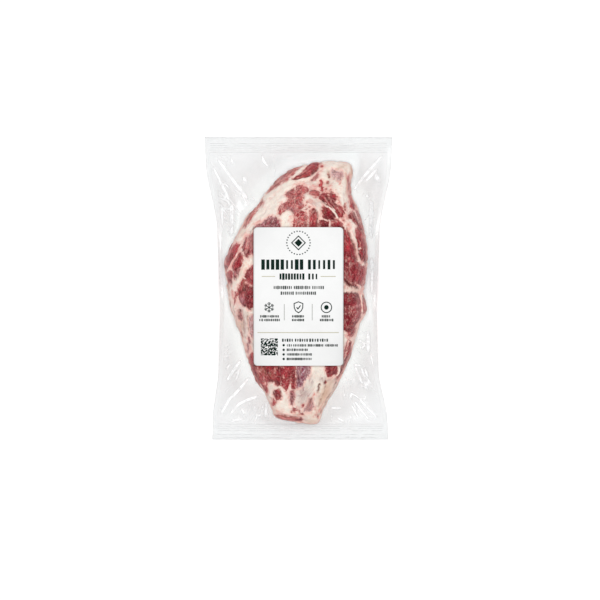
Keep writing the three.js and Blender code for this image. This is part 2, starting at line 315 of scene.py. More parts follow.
MUSCLES = [
    # Hip end, upper left: a thin flap and the end of a round muscle.
    (ROSE, 0.7, 42, [(-38, 107), (-33, 113.5), (-30, 118), (-25, 122.3), (-20, 126), (-15, 130),
        (-10, 133.3), (-5, 135.5), (0, 137), (4, 137), (1, 134), (-3, 131), (-5, 128), (-7, 126),
        (-11, 125), (-12.5, 121.5), (-18, 119.5), (-22, 117), (-27, 113), (-31, 110.5), (-35, 108)]),
    ((0.3, 0, 0.25, 0), 0.15, 34, [(-7, 122.7), (-3, 126), (0, 129.5), (3, 132), (7, 135.5), (10, 139),
        (13, 141.5), (17, 143.5), (23, 143.5), (23.5, 139), (22, 135), (20, 131.5), (17, 129), (13, 127),
        (8, 125.5), (3, 124), (-2, 122.8)]),
    ((0.15, 0, 0.45, 0), 0.4, 60, [(-63, 69), (-59, 77), (-55, 84), (-51, 89.5), (-46, 94.5), (-41, 98.5),
        (-40, 96.5), (-44, 92), (-48, 86), (-52, 80), (-56, 74), (-60, 69)]),
    (PURPLE, 0.85, 60, [(-50, 60), (-49, 70.5), (-46, 72), (-42, 72.5), (-39, 75.5), (-36, 78), (-33, 80),
        (-30, 81), (-26, 80.5), (-24, 78), (-21, 75.5), (-20.5, 60)]),
    ((0, 0.03, 0.75, 0.28), 0.1, 50, [(13.5, 120.5), (16, 124), (19, 127.5), (22, 129.5), (24, 127),
        (22, 124), (19, 121.5), (16, 120)]),
    ((0.05, 0, 0.2, 0), 0, 95, [(23.5, 121), (26, 121.5), (27.5, 118), (27, 115), (28.5, 112), (27, 108.5),
        (25, 110), (24.5, 113), (22.5, 116), (24, 118)]),
    # Topside above the label.
    ((0.2, 0, 0.36, 0.05), 0.75, 84, [(-15, 104.5), (-12, 108), (-8, 111), (-3, 114), (1, 115.5), (5, 115),
        (9, 114), (11.8, 112), (12, 109), (9, 106.5), (6.5, 106), (5.5, 103), (6, 100), (4.5, 97),
        (3, 95.5), (5.5, 94), (5, 90), (2, 87.5), (-1, 86), (-5, 84.5), (-8, 86), (-12, 87.5), (-15, 88),
        (-17, 85), (-20, 82), (-23, 84), (-22.5, 89), (-19, 94), (-15.5, 96.5), (-12.5, 98), (-12, 101)]),
    ((0.25, 0, 0.3, 0.03), 1.0, 60, [(-6, 87), (-2, 87.5), (2, 88), (6, 87), (9, 84), (10.5, 80),
        (10.5, 60), (-7, 60), (-6.5, 75), (-7, 83)]),
    ((0.05, 0, 0.25, 0), 0.6, 80, [(12.5, 84), (14, 86), (15.5, 89), (18, 89.5), (19, 87), (20.5, 84),
        (21.5, 80), (21.5, 60), (11, 60), (11.5, 74), (12, 80)]),
    ((0.1, 0, 0.5, 0.05), 0.5, 165, [(11, 105.5), (13, 109), (16, 110), (20, 109.5), (23, 108.5),
        (24.5, 106), (23, 103.5), (20, 101.5), (17, 102), (14, 104)]),
    ((0.7, 0, 0, 0), 0.28, 128, [(21.5, 101), (24, 106), (29, 107), (32, 105.5), (36, 106.5), (41, 105.5),
        (43.5, 102), (42, 99), (40.5, 97.5), (41.5, 95.5), (44.5, 92.5), (48, 91), (50.5, 87), (51, 83),
        (49, 79), (45, 78.5), (42.8, 81), (41, 84.5), (38, 88.5), (34, 91), (29.5, 92.3), (30.5, 93.5),
        (27, 97.5), (23.5, 98.5)]),
    ((0.7, 0, 0, 0), 0.05, 120, [(25.5, 86), (26.5, 90.5), (30, 91.8), (34, 90.3), (37, 88), (39.5, 85),
        (41.5, 82), (42.6, 79.5), (41, 76.3), (38, 74.5), (35, 75.7), (32.5, 75.7), (29.3, 77.3),
        (26.8, 80.5)]),
    (DARK, 0.4, 120, [(24, 77), (28, 77.5), (31, 76), (34.5, 74), (34.7, 70), (34, 60), (23.5, 60)]),
    (DEEP, 0.5, 110, [(35.5, 70), (36.5, 73), (41, 76.7), (45, 76.7), (48, 74), (49.5, 71), (51, 68),
        (52, 60), (35.5, 60)]),
    ((0, 0.18, 0.5, 0.85), 0.3, 95, [(36, 131), (38.5, 134.5), (42, 134), (45, 131.5), (49, 132),
        (50.5, 129), (49, 124), (46, 120), (43.5, 121.5), (42, 125), (39, 124), (37, 126)]),
    # Right edge.
    ((0, 0, 0.95, 0.2), 0, 95, [(55.5, 127), (57.7, 127), (58.5, 120), (59.5, 113), (60.5, 106),
        (58.5, 104.5), (56.5, 106), (56, 112), (55.5, 120)]),
    ((0.05, 0, 0.5, 0.1), 0.3, 105, [(57, 104), (60.5, 105), (62, 100), (64, 95), (65, 90), (64.5, 87.5),
        (62, 87.5), (58.5, 89), (57, 93), (56.5, 98)]),
    (DARK, 0.3, 115, [(56, 79.5), (57.5, 84), (60, 86.5), (62.5, 85), (64, 81), (66, 76), (68, 72.5),
        (69.5, 68), (68, 67), (65.5, 70.5), (63, 73), (61, 75), (59.5, 78), (58, 76.5)]),
    ((0.6, 0.1, 0.1, 0), 0.35, 105, [(65, 88), (69, 88.5), (72, 84), (74, 78), (76, 70), (78, 60), (80, 48),
        (80, 38), (79, 29), (76, 27), (73.5, 29.5), (71, 31.5), (69.5, 34), (68.5, 39), (67.5, 45),
        (66.5, 51), (65, 57), (64, 63), (65, 68), (68, 69), (68, 73), (66, 79)]),
    ((0.6, 0, 0, 0), 0.3, 97, [(49, 60), (50.5, 64), (52.5, 66), (54.5, 67), (57, 62.5), (59, 57), (61, 51),
        (63, 45.5), (64.5, 40), (65.5, 34), (66.5, 29.5), (69, 27.5), (72, 25), (75.5, 26), (78, 22),
        (78, 14), (77.5, 8), (75, 3), (72, -0.5), (70, 0.5), (68, 2.5), (66, 0), (62, 1.5), (58, 2.8),
        (54, 5), (50, 8.5), (40, 12), (40, 60)]),
    ((0.84, 0, 0, 0), 0.55, 98, [(50, -5.3), (55, -5.5), (60, -5), (65, -5), (68.5, -6), (69.5, -10),
        (71, -14), (71.5, -20), (70.5, -26), (70, -31), (69, -35), (68, -38), (65.5, -40.5), (64, -43.5),
        (64.5, -46), (63.5, -50), (61.5, -54), (58, -55), (55, -53), (54.3, -50), (53, -48), (40, -47),
        (40, -6)]),
    ((0.55, 0, 0.15, 0), 0.2, 100, [(71.2, -6.5), (73.5, -7.5), (76, -12), (78.5, -17), (79.5, -25),
        (77.5, -29), (73, -28.5), (71.2, -23), (71, -18), (70.7, -13)]),
    ((0.75, 0, 0.1, 0), 0.4, 112, [(57, -57), (60, -60), (60, -66), (60, -72), (58, -76), (56.5, -80),
        (54.5, -85), (52, -90), (50, -95), (47.5, -99), (45.5, -102), (43.5, -104), (42.5, -101),
        (44.5, -97), (45, -93), (47, -89), (50, -84), (50, -79), (50.5, -74), (51, -68), (53, -63),
        (54.5, -59)]),
    # Left edge.
    ((0.25, 0.05, 0.1, 0), 0.3, 62, [(-65.5, 49.5), (-70, 50.5), (-73, 48.5), (-76, 45), (-78.5, 42),
        (-81.5, 38.5), (-85, 35.5), (-87, 30), (-85.5, 24), (-82, 20), (-79.5, 19), (-77.5, 21), (-76, 25),
        (-74.5, 29), (-73, 32.5), (-70.5, 36), (-68, 40), (-66, 44)]),
    (DEEP, 0.4, 60, [(-66.5, 40.5), (-64, 40), (-61.5, 36), (-62, 32.5), (-63.5, 29), (-63, 26.5),
        (-67, 23), (-69, 20), (-70, 17.5), (-73, 18), (-74.8, 21), (-76, 24.5), (-75, 28), (-73.3, 31),
        (-71, 33.5), (-69, 36.5)]),
    ((0.35, 0.35, 0.3, 0.25), 0.3, 60, [(-69, 20), (-66.5, 22.5), (-65.5, 20), (-67, 17), (-69, 13),
        (-71.5, 10.5), (-73.5, 12), (-74, 15), (-72.5, 18)]),
    ((0.1, 0, 0.1, 0), 0.1, 80, [(-81.5, 18), (-78, 20), (-75.5, 20), (-74.5, 16), (-74, 12), (-75, 9),
        (-75.5, 5.5), (-79.5, 5), (-81, 10), (-82, 14)]),
    ((0.3, 0.1, 0.15, 0.05), 0.45, 82, [(-56, 60), (-54, 60.5), (-51, 62), (-44, 66), (-44, 36), (-53, 37),
        (-54.5, 36), (-56, 34), (-58, 33), (-60, 34), (-61, 37), (-60.5, 40), (-62.5, 42), (-63, 46),
        (-62, 50), (-61, 54), (-59, 57)]),
    ((0.45, 0.05, 0.15, 0.02), 0.35, 70, [(-42, 30), (-50, 26), (-52.5, 24.5), (-55, 22), (-57.5, 20),
        (-59.5, 16), (-61, 12.5), (-64, 9.5), (-65.5, 5.5), (-67, 2), (-69, -2), (-70.5, -6), (-72, -11),
        (-73, -16), (-72.3, -18), (-70.5, -16), (-69.5, -12), (-68, -9), (-66.5, -9.5), (-67, -12.5),
        (-66.5, -15.5), (-65, -18), (-62.5, -20), (-60, -20.5), (-58, -21.5), (-56.5, -24), (-54, -24),
        (-51, -22), (-44, -20)]),
    ((0.3, 0.3, 0.35, 0.3), 0.1, 100, [(-66, -24), (-64.5, -25), (-63.5, -30), (-63, -35), (-65, -36.5),
        (-67.5, -34), (-68.5, -31), (-67.5, -27.5)]),
    ((0.1, 0.4, 0.1, 0.65), 0.2, 94, [(-56, -35), (-53, -30), (-50, -30), (-50, -56), (-53, -54),
        (-55.5, -46)]),
    (BROWN, 0, 100, [(-65.5, -49), (-64, -49), (-63, -54), (-64.8, -54.5)]),
    ((0.4, 0.5, 0.2, 0.2), 0, 95, [(-56.5, -55), (-54.5, -55), (-53.5, -60), (-55, -62.5), (-57, -61)]),
    ((0.4, 0.5, 0.2, 0.25), 0, 98, [(-58.5, -62), (-57, -62), (-56, -67), (-57, -72), (-59, -72),
        (-58.5, -67)]),
    # Shank end.
    ((0.45, 0, 0.1, 0), 0.45, 100, [(-56, -75), (-53, -71.5), (-50, -73), (-46, -80), (-3, -80), (-3, -113),
        (-5, -113.5), (-8, -113.5), (-9.5, -110), (-10.5, -111), (-11.5, -113.5), (-13.5, -116),
        (-15.5, -115), (-17, -112.5), (-20, -109.5), (-22, -109), (-24.5, -110), (-26.5, -108.5),
        (-27.5, -106), (-30, -105.5), (-32.5, -105.8), (-35, -106.5), (-35.5, -110), (-34.5, -114),
        (-34.5, -117), (-36, -119), (-38.5, -117), (-41.5, -112.5), (-45, -108), (-48.5, -103),
        (-51.5, -97), (-54.5, -91), (-57, -85), (-58, -79)]),
    ((0.75, 0, 0.05, 0), 0.45, 80, [(-28, -115.5), (-25, -114), (-22, -113.5), (-20.5, -116), (-18.8, -121),
        (-20, -124), (-23, -126.5), (-25, -127), (-27, -125), (-28.8, -121)]),
    ((0.05, 0, 0.55, 0), 0.1, 60, [(-29, -122.5), (-26.5, -126.5), (-24.5, -128), (-27, -131),
        (-29.5, -134), (-31, -130), (-30, -126)]),
    ((0.35, 0.95, 0, 0.05), 0.85, 95, [(-3, -80), (12.5, -80), (13.5, -88), (13, -95), (11, -99), (8, -101),
        (6, -105), (4, -109), (0, -112), (-3, -112)]),
    ((0.5, 0.5, 0.1, 0.1), 0.8, 92, [(-9.5, -115), (-5.5, -114), (-4.5, -120), (-5, -127), (-6.5, -132),
        (-9, -131), (-9.3, -124)]),
    (DARK, 0.15, 75, [(29.5, -80), (29.8, -92), (30.5, -96.5), (33, -99.5), (37, -99), (41, -97),
        (43.5, -94.5), (44, -88), (45.5, -80)]),
    ((0.1, 0, 0.9, 0.1), 0.3, 172, [(-29, -143.5), (-24, -142.8), (-18, -143), (-10, -144.2), (-4, -144.2),
        (0, -145), (4, -146.5), (5, -148.8), (3, -151), (-4, -152), (-12, -151), (-20, -149), (-27, -146)]),
    ((0.1, 0.2, 0.45, 0.6), 0.2, 68, [(13, -124), (15.5, -124), (16, -129), (17, -133), (15, -137),
        (10, -139.5), (6.5, -139), (7, -134), (10, -130)]),
    # Hidden by the label.
    (RED, 0.5, 95, [(-40, 58), (-10, 58), (30, 56), (36, 20), (30, -10), (-20, -14), (-38, 0), (-36, 30)]),
    (DEEP, 0.5, 95, [(-36, -24), (0, -20), (34, -18), (34, -60), (20, -74), (-30, -74), (-40, -50)]),
]

# Small marks: (x, y, radius, tone).
MARKS = [
    (32, 119, 1.5, BROWN), (30.5, 111.5, 1.1, ROSE), (36, 110.5, 1.3, ROSE), (37.5, 107, 1.1, ROSE),
    (26.5, 137.5, 1.9, ROSE), (24, 140.5, 1.2, ROSE), (33.5, 128, 1.0, BROWN), (34.2, 125, 1.0, BROWN),
    (12.2, 90.5, 0.9, DARK), (9, 88, 0.9, DARK), (13, 86.3, 0.8, DARK), (6.8, 87.2, 0.8, DARK),
    (10, 96.5, 0.7, BROWN), (16, 87.5, 0.8, DARK), (5.5, 92, 1.0, ROSE), (8, 92.5, 0.8, BROWN),
    (51.8, 91, 1.2, BROWN), (52, 94, 0.9, BROWN), (52.5, 88, 0.9, BROWN), (49, 72, 1.3, ROSE),
    (51, 75.5, 1.0, ROSE), (60.5, 92.5, 2.2, BRIGHT), (62.5, 90.5, 1.5, RED), (30, -105.5, 1.2, BROWN),
    (5, -131.5, 2.1, (0, 0, 0.25, 0.1)), (-4.5, -137, 2.4, (0, 0, 0.3, 0.15)), (-1.9, -137, 1.0, DEEP),
    (-7.2, -139, 1.3, ROSE), (4.6, -141.6, 1.2, DARK), (1.2, -138.4, 0.9, BROWN), (1.5, -141.5, 0.8, ROSE),
    (22, -144, 1.3, ROSE), (-21, 69, 1.0, PURPLE), (-23, 76.5, 1.0, PURPLE),
]

# Pale sinews over the meat: (half width, path).
SINEWS = [
    (1.0, [(-5, 124.8), (-2, 128.5), (1, 131.5), (5, 134.7), (8.5, 138)]),
    (0.5, [(-1, 126.5), (2, 130), (5, 132.5)]),
    (0.8, [(-64.5, 48), (-67, 41), (-70, 36), (-72.8, 32), (-75, 28), (-77, 22), (-79, 18.5)]),
    (0.7, [(-56.8, 58), (-56.2, 50), (-58.5, 42)]),
    (0.9, [(-59, 7.5), (-56, 4.5), (-52, 2), (-48, 0)]),
    (0.7, [(-61.5, 12), (-58, 9.5)]),
    (0.9, [(71, 70), (73.5, 61), (75.8, 51), (77, 41), (77.5, 35)]),
    (1.0, [(50, 20.5), (52, 17), (55, 13), (59, 9.8)]),
    (0.9, [(65, 5), (68, 2), (70.5, -1)]),
    (0.45, [(31, 101), (34, 97), (37, 92), (41, 86)]),
    (1.2, [(33, 103.6), (35, 102)]),
    (0.8, [(29.5, 91.8), (35, 89.3), (39, 86), (42, 81.5), (43.5, 79)]),
    (0.6, [(-4, 112), (-4.5, 106), (-4, 100), (-3, 95), (-3, 91)]),
    (0.4, [(-1.5, 108), (-2, 100)]),
    (0.8, [(-38, -99), (-38, -104), (-37.5, -108)]),
    (1.2, [(-25.6, -90.5), (-26, -93)]),
    (1.0, [(-17.2, -97.5), (-16.8, -98.5)]),
    (0.8, [(-8.6, -96), (-9, -104), (-9.5, -112)]),
    (0.5, [(-21, -100), (-20.5, -107)]),
    (0.8, [(44.5, -87), (45, -92), (43.5, -98)]),
    (0.8, [(56, -59), (55.2, -68), (52, -79), (50, -86)]),
    (0.5, [(60, -19), (59, -27), (58, -34)]),
    (0.4, [(70.3, -5), (70.5, -12), (71, -18), (71.2, -26)]),
    (0.4, [(54, 60), (56, 50), (58, 40)]),
    (1.0, [(53.4, 31.5), (53.6, 30)]),
    (0.8, [(58, 27), (59.4, 26.6)]),
    (0.7, [(57, 19.4), (57.6, 18.6)]),
    (0.8, [(70, 45), (68.5, 44)]),
]

# Dark clefts: (half width, depth of shade, path).
CLEFTS = [
    (0.9, 0.75, [(-7, 122.4), (0, 123.4), (8, 125.3), (15, 128), (20, 131.3), (22, 135)]),
    (0.8, 0.6, [(-35, 111), (-31, 117.5), (-25, 122.3), (-18, 127.7), (-12, 132.3), (-4, 135.8)]),
    (0.8, 0.55, [(-60, 74), (-55, 83), (-50.5, 89.5), (-44, 96)]),
    (0.7, 0.5, [(23.6, -107.3), (22.3, -111.5), (21, -115)]),
    (0.7, 0.6, [(15.2, -124.5), (13.8, -128.5), (12.8, -131)]),
    (0.9, 0.9, [(72, -8), (73.8, -12), (74.6, -17)]),
    (0.9, 0.9, [(66.5, 76), (68, 70), (70.5, 63)]),
    (0.9, 0.7, [(65.5, 57), (66.8, 50), (68.3, 42)]),
    (1.0, 0.7, [(69.5, 37), (71.5, 33)]),
    (1.0, 0.7, [(75.5, 31), (77, 27.5)]),
    (0.8, 0.45, [(-37, -117.5), (-33.5, -121), (-30.3, -124.5)]),
    (0.9, 0.8, [(52.5, -79), (50, -86), (47, -93), (44, -99)]),
    (0.8, 0.5, [(-50, 68), (-53.5, 63), (-55, 60)]),
    (0.7, 0.6, [(54.5, 68), (57.5, 62), (60, 54), (63.5, 45)]),
    (1.0, 0.7, [(52, 7.5), (57, 4.5), (62, 2), (66, 0)]),
    (0.8, 0.5, [(50, -5.3), (58, -5.2), (66, -5)]),
    (1.3, 0.7, [(-3, -147.6), (2.5, -148)]),
    (0.7, 0.25, [(-28, -143.3), (-18, -142.6), (-5, -144.2), (4, -146.4)]),
    (0.7, 0.6, [(-74, 37.5), (-73.6, 33), (-76, 29.5)]),
    (0.9, 0.8, [(-79.8, 24), (-78.8, 21.8)]),
    (0.8, 0.7, [(-76.8, 9), (-75.9, 6)]),
    (0.9, 0.4, [(-79.5, 4), (-78.5, -6), (-77, -16), (-75.5, -27)]),
    (0.8, 0.7, [(-28.3, -117), (-28.5, -121)]),
    (0.8, 0.7, [(-20.3, -116), (-19, -121)]),
    (0.8, 0.6, [(34, 130), (34.5, 125)]),
    (0.9, 0.7, [(-61, -19.5), (-59.5, -19.8)]),
    (0.8, 0.5, [(-67.5, -26), (-65.5, -24)]),
]

# Tints of the fat, pink, grey silverskin and tan in turn: (x, y, half length, half width, turn in
# degrees, strength).
PINK = 0
FAT_TINTS = [
    [(7, 118, 12, 3, 15, 0.6), (18, 113, 9, 4, 0, 1.0), (30, 108, 9, 5, 140, 1.0), (25, 136, 5, 5, 0, 1.0),
     (22, 119, 4, 8, 100, 0.5), (36, 113, 7, 4, 130, 0.8), (44, 97, 10, 3, 110, 0.9),
     (47, 118, 9, 2.5, 95, 0.9), (53, 84, 12, 4, 105, 0.9), (48, 76, 7, 4, 100, 1.0),
     (60, 62, 18, 2, 107, 0.4), (56, 70, 6, 4, 110, 1.0), (66, 42, 14, 2.5, 105, 0.9),
     (71, 30, 5, 2.5, 20, 1.0), (54, 1, 5, 3, 150, 0.7), (70, -3, 4, 3, 60, 1.0),
     (72, -18, 10, 1.5, 95, 0.9), (54, -53, 5, 4, 120, 1.0), (61, -72, 14, 2.5, 102, 0.8),
     (-13, -122, 3, 12, 0, 0.3), (-2, -134, 8, 5, 0, 0.6), (17, -119, 6, 3, 70, 1.0),
     (-22, -138, 9, 4, 20, 0.8), (3, -143, 10, 2, 170, 0.7), (-4, 120, 9, 2, 20, 0.3),
     (55.5, 116, 14, 2, 93, 0.9), (14, 84, 5, 8, 0, 0.8), (24, 80, 3, 10, 0, 0.9), (-10, 76, 2, 8, 0, 0.6),
     (12, 96, 9, 5, 20, 0.7), (27, 96, 3, 8, 30, 0.7), (-22, 80, 3, 4, 0, 0.5), (-45, 74, 6, 2, 20, 0.8),
     (-37, 60, 5, 3, 0, 0.5), (-65, 43, 8, 1.6, 62, 1.0), (-72, 31, 12, 1.6, 62, 1.0),
     (-60, 60, 8, 2.5, 50, 0.5), (-73, 52, 6, 2.5, 40, 0.7), (-72.5, -8, 10, 2, 100, 1.0),
     (-69, -24, 6, 3, 95, 0.6), (-64.5, -46, 10, 1.5, 95, 0.8), (-54, -67, 5, 2.5, 90, 1.0),
     (-33, 111, 8, 1.5, 50, 0.9), (-52, 82, 14, 1.5, 56, 0.8), (-28, 104, 20, 2, 45, 0.35),
     (0, -152, 30, 2.5, 0, 0.5), (22, -137, 9, 4, 60, 0.9), (-58, 27, 10, 5, 60, 0.45),
     (-15, 118, 5, 2, 20, 0.4), (57, -88, 8, 2, 115, 0.7)],
    [(19, 94, 7, 4, 150, 0.6), (-12, 72, 4, 3, 90, 0.3), (5, -118, 14, 8, 90, 0.98),
     (12, -103, 8, 4, 80, 0.8), (-57, -38, 20, 3, 94, 0.7), (-61, -36, 14, 4, 98, 0.9),
     (-53, -60, 8, 3, 95, 0.6), (27, -103, 6, 3, 150, 0.9), (37, -103, 6, 3, 20, 0.7),
     (22, -122, 5, 3, 70, 0.5), (39, 119, 3, 6, 0, 0.3), (-68, 16, 3, 3, 0, 0.4), (11, -133, 9, 5, 70, 0.6),
     (40, -112, 8, 3, 60, 0.4), (-30, -111, 3, 3, 0, 0.3), (53, 90, 5, 2, 95, 0.6),
     (61, 50, 8, 1.5, 105, 0.5), (-68, -12, 4, 3, 90, 0.3)],
    [(30, -118, 20, 6, 68, 1.0), (17, -142, 8, 6, 0, 0.35), (59, 130, 10, 2.2, 92, 1.0),
     (48, 136, 8, 2.5, 25, 0.7), (60, -80, 12, 2.5, 106, 0.8), (14, -149, 12, 3, 0, 0.6),
     (-62, 20, 16, 4, 62, 0.4), (-63, -56, 12, 3, 100, 0.5), (33.5, 128, 2, 6, 5, 0.7),
     (0, -141, 10, 1.5, 170, 0.7), (62, -1.5, 6, 2, 170, 0.6), (-65, -40, 10, 4, 98, 0.7),
     (-64, 61, 8, 4, 50, 0.4), (53.5, 120, 16, 1.5, 92, 0.8), (45, 123, 3, 4, 0, 0.5),
     (31, 116, 3, 5, 0, 0.5), (-77, -14, 14, 1.5, 98, 0.7), (36, 106, 5, 3, 0, 0.3),
     (-26, -137, 3, 4, 0, 0.4)],
]

# Changes of tone within the meat: (x, y, half length, half width, turn, (dark, purple, pale, veil)).
SHADES = [
    (-9, 87, 5, 3, 0, (0.1, 0.7, 0, 0.15)), (-16, 92, 5, 2.5, 60, (0.2, 0, -0.4, 0)),
    (8, 110, 2.5, 2, 0, (-0.2, 0, -0.4, 0)), (3, 94, 3, 2, 0, (0.2, 0.6, 0, 0.1)),
    (-20, 85, 3, 3, 0, (-0.1, 0, -0.3, 0)), (-8, 130, 4, 2, 30, (-0.1, -0.1, 0.1, -0.1)),
    (-26, 117, 6, 3, 45, (0.5, 0.1, -0.2, 0)), (-16, 126, 5, 2, 40, (0.4, 0.3, 0, 0)),
    (-20, 123, 3, 2, 40, (-0.2, 0, 0.2, 0.3)), (15, 137, 6, 3, 50, (-0.25, 0, -0.3, 0)),
    (20, 139, 3, 2, 50, (0.5, 0, -0.3, 0)), (14, 130, 9, 1.6, 30, (0.5, 0.2, 0.1, 0)),
    (2, 128, 5, 3, 45, (0.1, 0, 0.2, 0)), (39, 102.5, 3, 2, 0, (-0.6, 0, 0.15, 0)),
    (47, 86, 3, 4, 0, (-0.4, 0, 0.1, 0)), (28, 102, 5, 3, 130, (-0.2, 0, 0, 0)),
    (17, 87.5, 2.5, 2, 0, (0.8, 0, -0.2, 0)), (16, 76, 4, 6, 0, (-0.1, 0, -0.1, 0)),
    (40, 73, 5, 1, 170, (-0.5, 0, 0.3, 0)), (-33, 74, 3, 4, 0, (0, -0.3, 0, 0)),
    (-28, 72, 2.5, 3, 0, (0.6, 0, 0, -0.1)), (-33, 77.5, 2.5, 1.5, 0, (0.5, 0, 0, -0.1)),
    (-46, 71, 4, 1.5, 0, (-0.3, -0.3, 0.3, 0)), (68, 78, 10, 2.5, 105, (-0.1, 0.4, 0.2, 0.15)),
    (73, 76, 10, 2, 108, (0, 0.3, 0.3, 0.4)), (71, 48, 11, 3, 97, (0.15, -0.1, -0.2, 0)),
    (78, 45, 20, 1.6, 92, (0, 0.2, 0.5, 0)), (66, 62, 8, 1.6, 100, (0.1, 0.2, 0.3, 0)),
    (55, 50, 12, 3, 93, (-0.5, 0, -0.1, 0)), (61, 50, 9, 1.6, 104, (0.2, 0.2, 0.4, 0)),
    (58, 22, 12, 6, 95, (0.2, 0, 0, 0)), (76.5, 14, 12, 1.6, 95, (-0.2, 0.2, 0.2, 0.4)),
    (59, 6, 8, 2.5, 150, (0.2, 0.2, 0.5, 0)), (70, 10, 9, 3, 90, (-0.1, 0, 0, 0)),
    (66, -19, 4, 9, 10, (-0.25, 0.35, 0.25, 0.08)), (66, -33, 4, 5, 10, (0, 0.2, 0.2, 0)),
    (55, -25, 4, 18, 0, (0.1, 0, -0.1, 0)), (63, -28, 3, 6, 0, (-0.2, 0, 0.2, 0)),
    (58, -50, 5, 3, 0, (-0.2, 0, 0, 0)), (77, -22, 4, 1.4, 95, (-0.3, 0, 0.2, 0)),
    (-69, 45, 7, 3, 62, (-0.3, 0, -0.05, 0)), (-81.5, 30, 7, 2.5, 75, (-0.1, 0.2, 0.15, 0.08)),
    (-79, 23, 2.5, 2.5, 0, (0.6, 0, 0, 0)), (-76, 36, 4, 1.5, 60, (0.3, 0, 0, 0)),
    (-71.5, 21, 3, 3, 0, (0.1, 0, -0.1, 0)), (-64, 35, 3, 3, 0, (-0.2, 0, 0.2, 0)),
    (-76.5, 7, 2, 2, 0, (0.7, 0, 0, 0)), (-60.5, 42, 2, 3, 0, (0.5, 0, 0, 0)),
    (-57.5, 36, 2.5, 2, 0, (0.5, 0, 0, 0)), (-53, 51, 2.2, 10, 0, (-0.1, 0.25, 0.4, 0.3)),
    (-54, 15, 4, 7, 20, (-0.1, 0.1, -0.2, 0.05)), (-64, 0, 4, 6, 20, (-0.1, 0, 0.25, 0)),
    (-59, -3, 4, 3, 30, (0.5, 0, 0, 0)), (-62.5, -13, 3, 4.5, 20, (-0.1, 0.8, 0.1, 0.15)),
    (-54, -11, 3, 11, 0, (0.8, 0, -0.3, 0)), (-60, -19, 2, 1.5, 0, (0.8, 0, 0, 0)),
    (-67, -5, 3, 3, 0, (-0.1, 0, 0.2, 0)), (-14, -110, 3, 4, 0, (-0.35, 0, -0.1, 0)),
    (-40, -92, 6, 3, 110, (0.1, 0, 0.45, 0)), (-28, -97, 5, 2.5, 100, (0.1, 0, 0.4, 0)),
    (-31, -104, 3, 1.8, 0, (0.9, 0, 0, 0)), (-24, -103.5, 2.5, 2, 0, (0.8, 0, 0, 0)),
    (-24, -108.5, 2.2, 1.6, 0, (0.7, 0, 0.3, 0)), (-54, -86, 2.5, 5, 0, (-0.2, 0, -0.1, 0)),
    (-45, -88, 4, 4, 0, (0.4, 0, 0, 0)), (-20, -92, 3, 6, 100, (0.2, 0, -0.1, 0)),
    (-47, -104, 7, 2, 120, (0.1, 0, 0.4, 0)), (-24, -119, 2.5, 2.5, 0, (0.4, 0, 0, 0)),
    (-24, -123.5, 2.5, 1.5, 0, (-0.4, 0, 0.2, 0)), (0, -148, 4, 1.6, 0, (0.7, 0.1, -0.2, 0)),
    (-14, -145, 7, 1.6, 172, (0, 0, -0.15, 0.1)), (3, -93, 3, 5, 0, (0.4, 0.2, 0, -0.1)),
    (1, -104, 3, 3, 0, (0.3, 0.2, 0, 0)), (-1, -94, 1.5, 5, 0, (-0.2, 0, 0, 0.3)),
    (10, -92, 3, 6, 0, (0, -0.2, 0.2, 0.35)), (38, -92, 5, 2, 70, (-0.3, 0, 0, 0)),
    (31, -93, 1.6, 5, 0, (-0.1, 0.3, 0.3, 0)), (44, 129, 3, 3, 0, (0, 0.2, 0, 0)),
    (38, 126, 2.5, 2, 0, (0, -0.5, 0, 0)), (47, 127, 2, 4, 0, (0.1, 0.3, 0, -0.2)),
]

